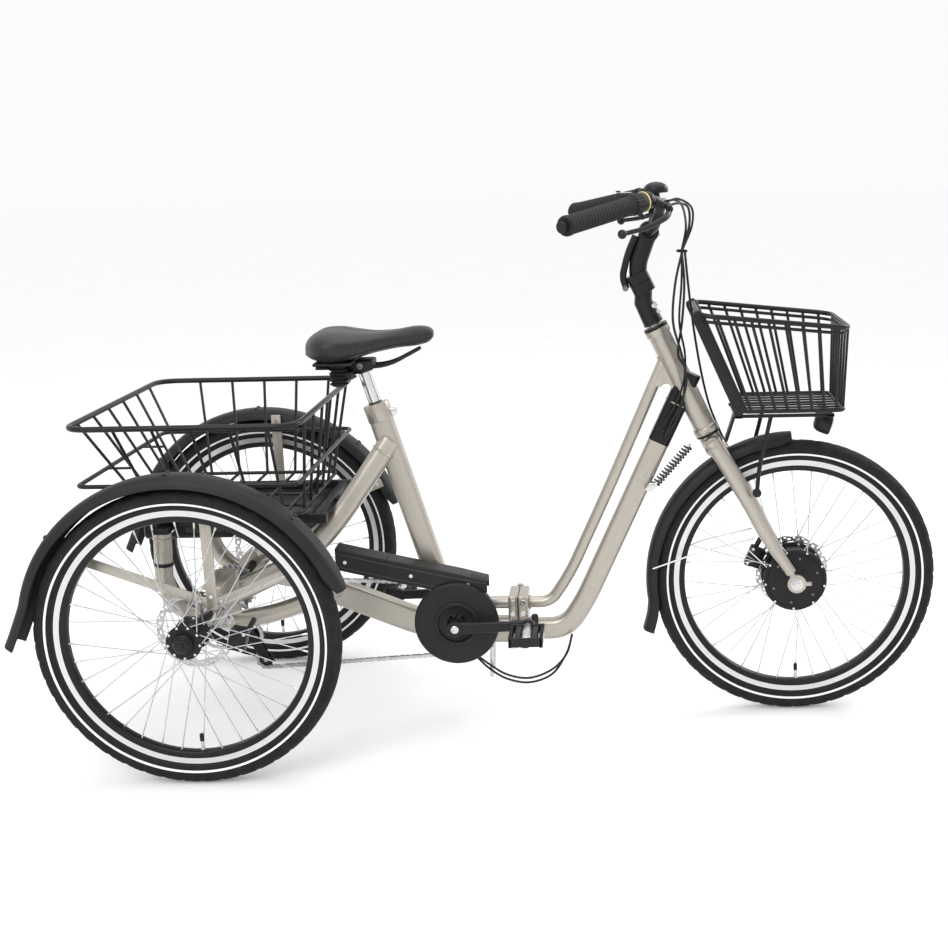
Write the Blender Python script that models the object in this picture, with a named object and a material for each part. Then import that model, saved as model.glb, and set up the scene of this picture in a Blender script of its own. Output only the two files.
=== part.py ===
"""Adult tricycle with a folding frame. Metres, +X forward, +Z up, tyres on z = 0. All helpers take x from the rear axle; DX centres the box."""
import bpy, bmesh, math
from mathutils import Vector, Matrix

DX = -0.5805
for ob in list(bpy.data.objects):
    bpy.data.objects.remove(ob, do_unlink=True)
COL = bpy.data.collections.new("adult_tricycle")
CUT = bpy.data.collections.new("cutters")
for c in (COL, CUT):
    bpy.context.scene.collection.children.link(c)

MATS = {}
def mat(name, rgb, metal=0.0, rough=0.5):
    m = bpy.data.materials.new(name)
    m.use_nodes = True
    b = m.node_tree.nodes["Principled BSDF"]
    b.inputs["Base Color"].default_value = (*rgb, 1)
    b.inputs["Metallic"].default_value = metal
    b.inputs["Roughness"].default_value = rough
    m.diffuse_color = (*rgb, 1)
    MATS[name] = m
mat("champagne", (0.47, 0.44, 0.38), 0.7, 0.38)
mat("black_satin", (0.02, 0.02, 0.022), 0.0, 0.45)
mat("black_plastic", (0.025, 0.025, 0.027), 0.0, 0.6)
mat("silver", (0.6, 0.6, 0.6), 1.0, 0.3)
mat("tyre_rubber", (0.015, 0.015, 0.016), 0.0, 0.85)
mat("rim_black", (0.03, 0.03, 0.03), 0.2, 0.4)
mat("saddle_skin", (0.03, 0.03, 0.032), 0.0, 0.5)
mat("red_lens", (0.5, 0.02, 0.02), 0.0, 0.2)
mat("clear_lens", (0.8, 0.82, 0.85), 0.0, 0.15)

V = Vector
TAU = 2 * math.pi

def fixed(vs, fs):
    vol = 0.0
    for f in fs:
        for i in range(1, len(f) - 1):
            vol += vs[f[0]].dot(vs[f[i]].cross(vs[f[i + 1]]))
    return (vs, [tuple(reversed(f)) for f in fs] if vol < 0 else list(fs))

def basis(t, up=None):
    t = t.normalized()
    up = V(up) if up else (V((0, 1, 0)) if abs(t.y) < 0.9 else V((0, 0, 1)))
    u = up.cross(t).normalized()
    return u, t.cross(u).normalized()

def sweep(path, sec, closed=False, up=None, scale=None):
    """A section of (u, v) points carried along a path, with the second direction held as near `up` as it can be."""
    P = [V(p) for p in path]
    n, vs, fs = len(P), [], []
    k = len(sec)
    prev = None
    for i in range(n):
        a = P[(i - 1) % n] if closed or i else P[0]
        b = P[(i + 1) % n] if closed or i < n - 1 else P[-1]
        t = (b - a).normalized()
        if up is not None:
            u, w = basis(t, up)
        elif prev is None:
            u, w = basis(t)
        else:
            u = (prev - t * prev.dot(t)).normalized()
            w = t.cross(u)
        prev = u
        # keep the tube's width at a corner
        cut = 1.0
        if (closed or 0 < i < n - 1):
            d1, d2 = (P[i] - P[i - 1]).normalized(), (P[(i + 1) % n] - P[i]).normalized()
            cut = 1.0 / max(0.6, math.cos(d1.angle(d2) / 2)) if d1.length and d2.length else 1.0
            side = (d2 - d1)
            side = side.normalized() if side.length > 1e-6 else None
        else:
            side = None
        s = scale[i] if scale else 1.0
        for (x, y) in sec:
            o = (u * x + w * y) * s
            if side is not None and cut > 1.0:
                o += side * o.dot(side) * (cut - 1.0)
            vs.append(P[i] + o)
    for i in range(n if closed else n - 1):
        for j in range(k):
            a, b = i * k + j, i * k + (j + 1) % k
            c, d = ((i + 1) % n) * k + (j + 1) % k, ((i + 1) % n) * k + j
            fs.append((a, b, c, d))
    if not closed:
        fs.append(tuple(range(k - 1, -1, -1)))
        fs.append(tuple(range((n - 1) * k, n * k)))
    return fixed(vs, fs)

def disc(r, n, turn=0.0):
    return [(r * math.cos(TAU * (i + turn) / n), r * math.sin(TAU * (i + turn) / n)) for i in range(n)]

def rbox(w, h, r=0.25, per=2):
    """Rounded rectangle section, w along the first direction and h along the second."""
    rr, out = min(w, h) * r, []
    for cx, cy, a0 in ((w/2-rr, h/2-rr, 0), (-w/2+rr, h/2-rr, 90), (-w/2+rr, -h/2+rr, 180), (w/2-rr, -h/2+rr, 270)):
        for i in range(per):
            a = math.radians(a0 + 90 * i / (per - 1))
            out.append((cx + rr * math.cos(a), cy + rr * math.sin(a)))
    return out

def tube(path, r, n=10, closed=False, up=None):
    if isinstance(r, (list, tuple)):
        return sweep(path, disc(1.0, n), closed, up, scale=list(r))
    return sweep(path, disc(r, n), closed, up)

def bend(pts, rad, k=2):
    """Rounds the inner corners of a line of points."""
    P, out = [V(p) for p in pts], [V(pts[0])]
    for i in range(1, len(P) - 1):
        a, b, c = P[i - 1], P[i], P[i + 1]
        d1, d2 = (a - b), (c - b)
        q = min(rad, d1.length * 0.48, d2.length * 0.48)
        s, e = b + d1.normalized() * q, b + d2.normalized() * q
        for j in range(k + 1):
            t = j / k
            out.append(s * (1 - t) ** 2 + b * 2 * t * (1 - t) + e * t * t)
    return out + [P[-1]]

def loop(corners, rad, k=3):
    P, out = [V(p) for p in corners], []
    n = len(P)
    for i in range(n):
        a, b, c = P[i - 1], P[i], P[(i + 1) % n]
        q1, q2 = min(rad, (a - b).length * 0.45), min(rad, (c - b).length * 0.45)
        s, e = b + (a - b).normalized() * q1, b + (c - b).normalized() * q2
        for j in range(k + 1):
            t = j / k
            out.append(s * (1 - t) ** 2 + b * 2 * t * (1 - t) + e * t * t)
    return out

def take(bm):
    """The points and faces of a bmesh shape, facing out."""
    bm.verts.index_update()
    out = fixed([v.co.copy() for v in bm.verts], [tuple(v.index for v in q.verts) for q in bm.faces])
    bm.free()
    return out

def cyl(a, b, r, n=12, r2=None):
    """A cylinder or cone from a to b."""
    a, b = V(a), V(b)
    d = b - a
    u, w = basis(d)
    t = d.normalized()
    turn = Matrix(((u.x, w.x, t.x, 0), (u.y, w.y, t.y, 0), (u.z, w.z, t.z, 0), (0, 0, 0, 1)))
    bm = bmesh.new()
    bmesh.ops.create_cone(bm, cap_ends=True, segments=n, radius1=r, radius2=r if r2 is None else r2, depth=d.length, matrix=Matrix.Translation((a + b) / 2) @ turn)
    return take(bm)

def lathe(prof, c, axis, n=24, ring=False):
    """A profile of (radius, height along axis) spun round the axis. ring joins its last point to its first; otherwise both ends are capped."""
    ax, c = V(axis).normalized(), V(c)
    u, w = basis(ax)
    a = TAU * 0.5 / n
    d = u * math.cos(a) + w * math.sin(a)
    bm = bmesh.new()
    pts = [bm.verts.new(c + d * r + ax * h) for r, h in prof]
    edges = [bm.edges.new((pts[i], pts[i + 1])) for i in range(len(pts) - 1)]
    if ring:
        edges.append(bm.edges.new((pts[-1], pts[0])))
    bmesh.ops.spin(bm, geom=pts + edges, cent=c, axis=ax, angle=TAU, steps=n, use_duplicate=False, use_merge=False)
    bmesh.ops.remove_doubles(bm, verts=bm.verts[:], dist=0.000005)
    if not ring:
        bmesh.ops.holes_fill(bm, edges=[e for e in bm.edges if e.is_boundary], sides=0)
    bmesh.ops.recalc_face_normals(bm, faces=bm.faces[:])
    return take(bm)

def box(x0, x1, y0, y1, z0, z1):
    bm = bmesh.new()
    bmesh.ops.create_cube(bm, size=1, matrix=Matrix.Translation(((x0 + x1) / 2, (y0 + y1) / 2, (z0 + z1) / 2)) @ Matrix.Diagonal((x1 - x0, y1 - y0, z1 - z0, 1)))
    return take(bm)

def prism(poly, y0, y1):
    """A polygon of (x, z) points, extruded from y0 to y1."""
    bm = bmesh.new()
    face = bm.faces.new([bm.verts.new((x, y0, z)) for x, z in poly])
    made = bmesh.ops.extrude_face_region(bm, geom=[face])["geom"]
    bmesh.ops.translate(bm, vec=(0, y1 - y0, 0), verts=[g for g in made if isinstance(g, bmesh.types.BMVert)])
    bmesh.ops.recalc_face_normals(bm, faces=bm.faces[:])
    return take(bm)

def solid(name, shells, where, smooth=False):
    vs, fs = [], []
    for sv, sf in shells:
        o = len(vs)
        vs += [(v.x + DX, v.y, v.z) for v in sv]
        fs += [tuple(i + o for i in f) for f in sf]
    me = bpy.data.meshes.new(name)
    me.from_pydata(vs, [], fs)
    me.validate()
    ob = bpy.data.objects.new(name, me)
    where.objects.link(ob)
    return ob

def boolean(ob, shells, op, own=False):
    tool = solid(f"{ob.name}_{op.lower()}", shells, CUT)
    tool.hide_render = True
    tool.display_type = "WIRE"
    m = ob.modifiers.new(op.title(), "BOOLEAN")
    m.operation, m.object, m.solver, m.use_self = op, tool, "EXACT", own
    return m

def make(name, material, shells, cuts=()):
    """One closed node: its shapes are joined by a union, then holes are cut."""
    ob = solid(name, shells[:-1] if len(shells) > 1 else shells, COL)
    ob.data.materials.append(MATS[material])
    if len(shells) > 1:
        boolean(ob, shells[-1:], "UNION", own=True)
    if cuts:
        boolean(ob, list(cuts), "DIFFERENCE", own=len(cuts) > 1)
    return ob

# ---------------------------------------------------------------- main dimensions
R, WB, TR = 0.3005, 1.2165, 0.349      # tyre radius, wheelbase, half track
HT, HB = V((0.924, 0, 0.842)), V((1.030, 0, 0.621))
HU = (HT - HB).normalized()            # up the steering axis
SU = V((-0.2802, 0, 0.9599))           # up the seat tube
ST = V((0.3365, 0, 0.680))             # a point near its top
BB = V((0.493, 0, 0.235))
SIDES = (("right", -1), ("left", 1))

# ---------------------------------------------------------------- wheels
def tyre(name, x, y):
    out = R / math.cos(math.pi / 28)
    prof = [(0.2630, -0.0150), (0.2760, -0.0228), (0.2920, -0.0200), (out, -0.0100), (out, 0.0100), (0.2920, 0.0200), (0.2760, 0.0228), (0.2630, 0.0150)]
    return make(name, "tyre_rubber", [lathe(prof, (x, y, R), (0, 1, 0), 28, ring=True)])

def spoked(name, x, y, rf, yf, hub, cross, bore):
    c = V((x, y, R))
    shells = [lathe([(0.2360, -0.0110), (0.2600, -0.0125), (0.2600, 0.0125), (0.2360, 0.0110)], c, (0, 1, 0), 28, ring=True)]
    for i in range(12):
        s = 1 if i % 2 else -1
        a = TAU * i / 12
        b = a + math.radians(cross) * (1 if i % 4 < 2 else -1)
        p = c + V((rf * math.cos(a), s * yf, rf * math.sin(a)))
        q = c + V((0.2380 * math.cos(b), s * 0.004, 0.2380 * math.sin(b)))
        shells.append(tube([p, q], 0.0014, 3))
    shells.append(lathe(hub, c, (0, 1, 0), 18))
    return make(name, "rim_black", shells, [cyl(c + V((0, -0.09, 0)), c + V((0, 0.09, 0)), bore, 16)])

def rotor(name, x, y, inner=0.0112):
    return make(name, "silver", [lathe([(inner, -0.001), (0.080, -0.001), (0.080, 0.001), (inner, 0.001)], (x, y, R), (0, 1, 0), 20, ring=True)])

def caliper(name, x, y, ang, arm, near=0.016):
    """A block with a slot over the rotor's edge, on an arm that ends at `arm`."""
    u, t = V((math.cos(ang), 0, math.sin(ang))), V((-math.sin(ang), 0, math.cos(ang)))
    c = V((x, y, R))
    poly = [(0.069, -near), (0.103, -near), (0.103, 0.016), (0.069, 0.016), (0.069, 0.0035), (0.086, 0.0035), (0.086, -0.0035), (0.069, -0.0035)]
    vs = [c + u * r + V((0, h, 0)) + t * w for w in (-0.024, 0.024) for r, h in poly]
    fs = [tuple(range(8)), tuple(range(15, 7, -1))] + [(i, i + 8, (i + 1) % 8 + 8, (i + 1) % 8) for i in range(8)]
    return make(name, "black_satin", [fixed(vs, fs), tube([c + u * 0.095, V(arm)], 0.006, 6)])

HUB = [(0.0140, -0.0420), (0.0200, -0.0400), (0.0200, -0.0310), (0.0350, -0.0300), (0.0350, -0.0265), (0.0180, -0.0240),
       (0.0180, 0.0240), (0.0350, 0.0265), (0.0350, 0.0300), (0.0200, 0.0310), (0.0200, 0.0400), (0.0140, 0.0420)]
MOTOR = [(0.0200, -0.0370), (0.0560, -0.0360), (0.0600, -0.0330), (0.0675, -0.0320), (0.0675, -0.0280), (0.0620, -0.0270),
         (0.0620, 0.0270), (0.0675, 0.0280), (0.0675, 0.0320), (0.0600, 0.0330), (0.0560, 0.0360), (0.0200, 0.0370)]
for side, s in SIDES:
    y = s * TR
    tyre(f"tyre_rear_{side}", 0, y)
    spoked(f"wheel_rear_{side}", 0, y, 0.0325, 0.0282, HUB, 52, 0.0108)
    rotor(f"rotor_rear_{side}", 0, y - s * 0.0520)
    make(f"rear_axle_{side}", "black_satin", [lathe([(0.0100, 0.0150 if s > 0 else 0.0460), (0.0100, 0.3920), (0.0100, 0.3930), (0.0140, 0.3930), (0.0140, 0.4000), (0.0080, 0.4030)], (0, 0, R), (0, s, 0), 16)])
    caliper(f"caliper_rear_{side}", 0, y - s * 0.0520, math.radians(-14), (0.090, s * 0.200, 0.285))
tyre("tyre_front", WB, 0)
spoked("wheel_front", WB, 0, 0.0650, 0.0300, MOTOR, 14, 0.0070)
rotor("rotor_front", WB, 0.0410, 0.0125)
caliper("caliper_front", WB, 0.0410, math.radians(158), (1.150, 0.054, 0.372), 0.0075)

# ---------------------------------------------------------------- fenders
def fender(x, y, r, a0, a1, half, flap, steps):
    pts = []
    for i in range(steps + 1):
        a = math.radians(a0 + (a1 - a0) * i / steps)
        pts.append((x + r * math.cos(a), y, R + r * math.sin(a)))
    pts += flap
    arch = [(-half, -0.021), (-half * 0.8, -0.008), (-half * 0.35, 0), (half * 0.35, 0), (half * 0.8, -0.008), (half, -0.021)]
    under = [(px * 0.93, pz - 0.0028) for px, pz in reversed(arch)]
    return sweep(pts, [(q, p) for p, q in arch + under], up=(0, 1, 0))

for side, s in SIDES:
    y = s * TR
    make(f"fender_rear_{side}", "black_plastic", [fender(0, y, 0.3290, 17, 166, 0.0340, [(-0.334, y, 0.345), (-0.356, y, 0.297)], 14)])
make("fender_front", "black_plastic", [
    fender(WB, 0, 0.3190, 92, 189, 0.0300, [(0.8990, 0, 0.225), (0.8900, 0, 0.189)], 10),
    tube(bend([(0.912, -0.0285, 0.330), (1.02, -0.041, 0.372), (1.130, -0.041, 0.398)], 0.02), 0.0022, 5),
    tube(bend([(0.912, 0.0285, 0.330), (1.02, 0.041, 0.372), (1.130, 0.041, 0.398)], 0.02), 0.0022, 5)])

# ---------------------------------------------------------------- rear frame
PINX, PINY = 0.6205, 0.0520
rear = [sweep([ST + SU * 0.012, ST - SU * 0.470], rbox(0.048, 0.042, 0.25), up=(0, 1, 0)),
        sweep(bend([(0.205, 0, 0.291), (0.392, 0, 0.213), (0.470, 0, 0.190), (0.6025, 0, 0.190)], 0.05), rbox(0.056, 0.040, 0.25), up=(0, 1, 0)),
        cyl((BB.x, -0.034, BB.z), (BB.x, 0.034, BB.z), 0.0245, 16),
        cyl((0.475, 0, 0.2505), (0.6025, 0, 0.2505), 0.0135, 10),
        lathe([(0.0270, -0.004), (0.0275, 0.030), (0.0255, 0.034)], ST - SU * 0.018, SU, 16),
        box(0.5995, 0.6200, -0.0450, 0.0405, 0.1580, 0.2760),
        box(0.6030, 0.6165, -0.0520, -0.0300, 0.2300, 0.2790)]
rear.append(lathe([(0.0070, 0.1600), (0.0070, 0.1660), (0.0040, 0.1670), (0.0040, 0.2690), (0.0070, 0.2695), (0.0070, 0.2750)], (PINX, PINY, 0), (0, 0, 1), 12))
for z0, z1 in ((0.1650, 0.1950), (0.2400, 0.2700)):
    rear += [cyl((PINX, PINY, z0), (PINX, PINY, z1), 0.0112, 14), box(0.6000, 0.6110, 0.0340, 0.0520, z0 + 0.001, z1 - 0.001)]
for side, s in SIDES:
    rear += [tube(bend([(0.362, s * 0.010, 0.618), (0.240, s * 0.050, 0.447), (0.165, s * 0.105, 0.378), (0.006, s * 0.172, 0.316)], 0.05), 0.0175, 8),
             tube(bend([(-0.090, s * 0.172, 0.466), (-0.097, s * 0.172, 0.350), (-0.055, s * 0.172, 0.290), (0.030, s * 0.165, 0.272), (0.120, s * 0.115, 0.272), (0.225, s * 0.010, 0.290)], 0.06), 0.0185, 8),
             cyl((0, s * 0.150, R), (0, s * 0.205, R), 0.0300, 16),
             # the plate and the flat bars that carry the fender
             box(0.022, 0.060, min(s * 0.1900, s * 0.3110), max(s * 0.1900, s * 0.3110), 0.3860, 0.3915),
             box(0.018, 0.064, min(s * 0.1880, s * 0.1980), max(s * 0.1880, s * 0.1980), 0.2950, 0.3920)]
    for n, (p, q, w) in enumerate((((0.041, 0.345), (0.041, 0.618), 0.0110), ((0.050, 0.352), (-0.262, 0.470), 0.0100), ((0.036, 0.352), (0.281, 0.452), 0.0100))):
        ys = sorted((s * (0.3068 + 0.0002 * n), s * (0.3114 - 0.0002 * n)))
        d = V((q[0] - p[0], q[1] - p[1])).normalized()
        m = (-d.y * w, d.x * w)
        rear.append(prism([(p[0] + m[0], p[1] + m[1]), (p[0] - m[0], p[1] - m[1]), (q[0] - m[0], q[1] - m[1]), (q[0] + m[0], q[1] + m[1])], *ys))
make("rear_frame", "champagne", rear, [
    cyl(ST + SU * 0.06, ST - SU * 0.26, 0.0141, 20),
    cyl((BB.x, -0.05, BB.z), (BB.x, 0.05, BB.z), 0.0100, 16),
    cyl((0, -0.22, R), (0, 0.22, R), 0.0112, 16)])
make("stand_loop", "silver", [tube(bend([(0.560, -0.026, 0.1580), (0.556, -0.026, 0.085), (0.556, 0.026, 0.085), (0.560, 0.026, 0.1580)], 0.022, 4), 0.0045, 8)])

# ---------------------------------------------------------------- seat
PT = ST + SU * 0.085
make("seat_post", "silver", [cyl(ST - SU * 0.20, PT, 0.0135, 20)])
sad = []
for x, w, zt, zb in ((0.199, 0.030, 0.822, 0.806), (0.207, 0.062, 0.839, 0.797), (0.230, 0.096, 0.853, 0.790), (0.262, 0.108, 0.855, 0.788), (0.300, 0.092, 0.850, 0.794),
                     (0.340, 0.062, 0.847, 0.804), (0.385, 0.036, 0.850, 0.812), (0.425, 0.027, 0.856, 0.816), (0.450, 0.022, 0.854, 0.822), (0.461, 0.012, 0.847, 0.832)):
    sad.append([(x, w * math.copysign(abs(math.cos(a)) ** 0.8, math.cos(a)), (zt + zb) / 2 + (zt - zb) / 2 * math.copysign(abs(math.sin(a)) ** 0.75, math.sin(a))) for a in [TAU * i / 16 for i in range(16)]])
vs = [V(p) for r_ in sad for p in r_]
fs = [(i * 16 + j, i * 16 + (j + 1) % 16, (i + 1) * 16 + (j + 1) % 16, (i + 1) * 16 + j) for i in range(len(sad) - 1) for j in range(16)]
fs += [tuple(range(15, -1, -1)), tuple(range((len(sad) - 1) * 16, len(sad) * 16))]
make("saddle", "saddle_skin", [fixed(vs, fs)])
frame = [lathe([(0.0180, 0.0862), (0.0200, 0.0875), (0.0200, 0.1060), (0.0150, 0.1100)], ST, SU, 12),
         box(0.285, 0.335, -0.030, 0.030, 0.7680, 0.7900)]
for s in (-1, 1):
    frame += [tube(bend([(0.225, s * 0.062, 0.7800), (0.270, s * 0.024, 0.7740), (0.365, s * 0.022, 0.7760), (0.432, s * 0.008, 0.8100)], 0.03), 0.0038, 6),
              lathe([(0.0150, 0.742), (0.0185, 0.747), (0.0155, 0.754), (0.0190, 0.761), (0.0160, 0.768), (0.0190, 0.775), (0.0150, 0.785)], (0.268, s * 0.048, 0), (0, 0, 1), 8)]
frame += [box(0.250, 0.2960, -0.056, 0.056, 0.7560, 0.7700)]
make("saddle_frame", "black_satin", frame)

# ---------------------------------------------------------------- rack, basket, battery
rack = [box(-0.170, 0.245, s * 0.150 - 0.008, s * 0.150 + 0.008, 0.4760, 0.4960) for s in (-1, 1)]
rack += [box(x - 0.010, x + 0.010, -0.150, 0.150, 0.4770, 0.4950) for x in (-0.155, 0.020, 0.225)]
rack += [box(-0.105, -0.071, s * 0.172 - 0.024, s * 0.172 + 0.024, 0.4670, 0.4765) for s in (-1, 1)]
rack += [tube(bend([(0.230, 0, 0.486), (0.290, 0, 0.500), (0.3360, 0, 0.5600)], 0.03), 0.0075, 8)]
dock = [(0.0600, 0.4780), (0.2300, 0.4780), (0.2300, 0.4690), (0.1900, 0.4400), (0.1150, 0.4130), (0.0600, 0.4130)]
rack += [prism(dock, -0.068, 0.068)]
make("rear_rack", "black_plastic", rack)
make("battery", "black_plastic", [sweep([(-0.160, 0, 0.4490), (0.0590, 0, 0.4490)], rbox(0.044, 0.170, 0.25, 3), up=(0, 1, 0))])
make("tail_light", "red_lens", [lathe([(0.0060, -0.1830), (0.0170, -0.1790), (0.0190, -0.1700), (0.0190, -0.1604)], (0, 0, 0.446), (1, 0, 0), 16)])

def wire(a, b, r=0.0028, n=4):
    return tube([a, b], r, n)

TX0, TX1, TY, TZ = -0.221, 0.229, 0.296, 0.705     # top rim of the rear basket
BX0, BX1, BY, BZ = -0.118, 0.200, 0.192, 0.5065    # its bottom rim
k = (TZ - 0.588) / (TZ - BZ)
bask = [tube(loop([(TX0, -TY, TZ), (TX1, -TY, TZ), (TX1, TY, TZ), (TX0, TY, TZ)], 0.05, 2), 0.0058, 6, closed=True),
        tube(loop([(BX0, -BY, BZ), (BX1, -BY, BZ), (BX1, BY, BZ), (BX0, BY, BZ)], 0.02, 2), 0.0040, 4, closed=True),
        tube(loop([(-0.214, -0.275, 0.588), (0.221, -0.285, 0.588), (0.221, 0.285, 0.588), (-0.214, 0.275, 0.588)], 0.02, 2), 0.0045, 4, closed=True)]
for s in (-1, 1):
    for i in range(6):
        f = (i + 0.5) / 6
        a, b = V((TX0 + 0.02 + (TX1 - TX0 - 0.04) * f, s * TY, TZ)), V((BX0 + (BX1 - BX0) * f, s * BY, BZ))
        bask.append(wire(a, b))
        if i in (1, 4):
            m = a.lerp(b, k)
            bask.append(wire(m - V((0, s * 0.002, 0)), V((m.x, s * 0.281, m.z))))
for xt, xb in ((TX0, BX0), (TX1, BX1)):
    for i in range(6):
        f = (i + 0.5) / 6 * 2 - 1
        a, b = V((xt, (TY - 0.03) * f, TZ)), V((xb, (BY - 0.01) * f, BZ))
        bask.append(wire(a, b))
        if i in (1, 4):
            m = a.lerp(b, k)
            bask.append(wire(V((m.x + (0.002 if xt < 0 else -0.002), m.y, m.z)), V((-0.214 if xt < 0 else 0.221, m.y, m.z))))
for i in range(5):
    bask.append(wire((-0.080 + 0.060 * i, -BY, BZ), (-0.080 + 0.060 * i, BY, BZ)))
for y in (-0.098, 0.0, 0.098):
    bask.append(wire((BX0, y, BZ - 0.0014), (BX1, y, BZ - 0.0014)))
make("rear_basket", "black_satin", bask)

# ---------------------------------------------------------------- drive
steps = [(0.0240, -0.0420), (0.0240, -0.0350), (0.0300, -0.0350), (0.0300, -0.0300), (0.0360, -0.0300), (0.0360, -0.0240), (0.0440, -0.0240), (0.0440, -0.0180),
         (0.0530, -0.0180), (0.0530, -0.0120), (0.0160, -0.0120)]
make("cassette", "silver", [lathe([(0.0100, -0.0450), (0.0100, -0.0420)] + steps + [(0.0160, 0.0100), (0.0100, 0.0100), (0.0100, 0.0140)], (0, 0, R), (0, 1, 0), 16)])
CR = 0.0800
ring = [(0.0180, -0.0640), (CR - 0.0008, -0.0640), (CR - 0.0008, -0.0605), (0.0180, -0.0605)]
make("chainring", "black_satin", [lathe(ring, (BB.x, 0, BB.z), (0, 1, 0), 28, ring=True)])
make("chain_guard_disc", "black_plastic", [lathe([(0.0205, -0.0950), (0.0850, -0.0970), (0.0900, -0.0940), (0.0900, -0.0890), (0.0205, -0.0890)], (BB.x, 0, BB.z), (0, 1, 0), 28, ring=True)])

def crank(side, s):
    a0, a1 = V((BB.x, s * 0.1250, BB.z)), V((BB.x - s * 0.1548, s * 0.1290, BB.z - s * 0.005))
    sh = [cyl((BB.x, s * 0.1180, BB.z), (BB.x, s * 0.1340, BB.z), 0.0175, 14),
          sweep([a0, a1], rbox(0.024, 0.0130, 0.3, 3), up=(0, 1, 0), scale=[1.15, 0.85]),
          cyl((a1.x, s * 0.1215, a1.z), (a1.x, s * 0.1365, a1.z), 0.0140, 12),
          cyl((a1.x, s * 0.1300, a1.z), (a1.x, s * 0.2290, a1.z), 0.0050, 8)]
    if s < 0:
        sh += [cyl((BB.x, -0.1240, BB.z), (BB.x, -0.0645, BB.z), 0.0085, 12)] + [
            tube([(BB.x, -0.1000, BB.z), (BB.x + 0.030 * math.cos(t), -0.0705, BB.z + 0.030 * math.sin(t))], 0.0050, 6) for t in (0.5, 2.6, 4.7)]
    else:
        sh += [cyl((BB.x, -0.0640, BB.z), (BB.x, 0.1240, BB.z), 0.0085, 12)]
    make(f"crank_{side}", "black_satin", sh)
    return a1

def pedal(side, s, c):
    x, z, sh = c.x, c.z, []
    sh = [cyl((x, s * 0.1400, z), (x, s * 0.2400, z), 0.0115, 8)]
    for dx in (-0.0315, 0.0315):
        sh.append(box(x + dx - 0.0035, x + dx + 0.0035, min(s * 0.1440, s * 0.2360), max(s * 0.1440, s * 0.2360), z - 0.0115, z + 0.0115))
    for yy in (0.1440, 0.2290):
        sh.append(box(x - 0.0345, x + 0.0345, min(s * yy, s * (yy + 0.007)), max(s * yy, s * (yy + 0.007)), z - 0.0100, z + 0.0100))
    make(f"pedal_{side}", "black_plastic", sh, [cyl((x, s * 0.13, z), (x, s * 0.2320, z), 0.0056, 10)])

for side, s in SIDES:
    pedal(side, s, crank(side, s))

def arc(c, r, a0, a1, k, y):
    return [(c.x + r * math.cos(math.radians(a0 + (a1 - a0) * i / k)), y, c.z + r * math.sin(math.radians(a0 + (a1 - a0) * i / k))) for i in range(k + 1)]
AX = V((0, 0, R))
J1, J2 = V((0.040, 0, 0.198)), V((0.066, 0, 0.142))
path = arc(BB, CR + 0.0045, 92, -102, 10, -0.0622)
path += arc(J2, 0.0236, -85, -190, 4, -0.0385) + arc(J1, 0.0236, -10, 35, 2, -0.0385)
path += arc(AX, 0.0290, -45, -268, 8, -0.0385)
make("chain", "silver", [sweep(path, rbox(0.0070, 0.0056, 0.2, 2), closed=True, up=(0, 1, 0))])
cage = [box(0.030, 0.052, -0.0700, -0.0450, 0.190, 0.246), cyl((0.006, -0.0580, 0.252), (0.044, -0.0580, 0.226), 0.0110, 8), cyl((0.006, -0.0640, 0.252), (0.006, -0.0440, 0.252), 0.0140, 10)]
cage += [tube([(J1.x, y, J1.z), (J2.x, y, J2.z)], 0.0040, 6) for y in (-0.0480,)]
cage += [cyl((c.x, -0.0480, c.z), (c.x, -0.0355, c.z), 0.0185, 14) for c in (J1, J2)]
make("derailleur", "black_plastic", cage)

# the cover over the chain's upper run: a channel open underneath
ch = [(0.0, -0.0880), (0.0, -0.0350), (-0.046, -0.0350), (-0.046, -0.0385), (-0.0035, -0.0385), (-0.0035, -0.0845), (-0.046, -0.0845), (-0.046, -0.0880)]
vs, n = [], 0
for x, z, h in ((0.242, 0.402, 1.0), (0.350, 0.376, 1.0), (0.500, 0.342, 1.0), (0.560, 0.326, 0.55)):
    for dz, y in ch:
        vs.append(V((x, y, z + dz * h))) ; n += 1
fs = [(i * 8 + j, i * 8 + (j + 1) % 8, (i + 1) * 8 + (j + 1) % 8, (i + 1) * 8 + j) for i in range(3) for j in range(8)]
fs += [tuple(range(7, -1, -1)), tuple(range(24, 32))]
make("chain_cover", "black_plastic", [fixed(vs, fs)])

# ---------------------------------------------------------------- front frame
ft = bend([(0.979, 0, 0.712), (0.924, 0, 0.595), (0.764, 0, 0.252), (0.722, 0, 0.190), (0.6380, 0, 0.190)], 0.055, 3)
ut = bend([(0.9470, 0, 0.790), (0.823, 0, 0.508), (0.735, 0, 0.318), (0.690, 0, 0.2505), (0.6380, 0, 0.2505)], 0.05, 3)
front = [lathe([(0.0240, -0.1225), (0.0270, -0.1215), (0.0270, -0.1100), (0.0235, -0.1060), (0.0235, 0.1060), (0.0262, 0.1100), (0.0262, 0.1215), (0.0240, 0.1225)], (HT + HB) / 2, HU, 20),
         sweep(ft, rbox(0.045, 0.038, 0.25), up=(0, 1, 0)),
         tube(ut, 0.0125, 10),
         box(0.6206, 0.6420, -0.0450, 0.0405, 0.1580, 0.2760),
         box(0.6225, 0.6370, -0.0520, -0.0300, 0.2300, 0.2790),
         cyl((PINX, PINY, 0.1955), (PINX, PINY, 0.2395), 0.0112, 14), box(0.6300, 0.6410, 0.0340, 0.0520, 0.1965, 0.2385),
         box(0.8880, 0.9060, -0.0235, -0.0150, 0.5080, 0.5240)]
make("front_frame", "champagne", front, [cyl(HB - HU * 0.02, HT + HU * 0.02, 0.0158, 20), cyl((PINX, PINY, 0.14), (PINX, PINY, 0.29), 0.0046, 12)])
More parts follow.
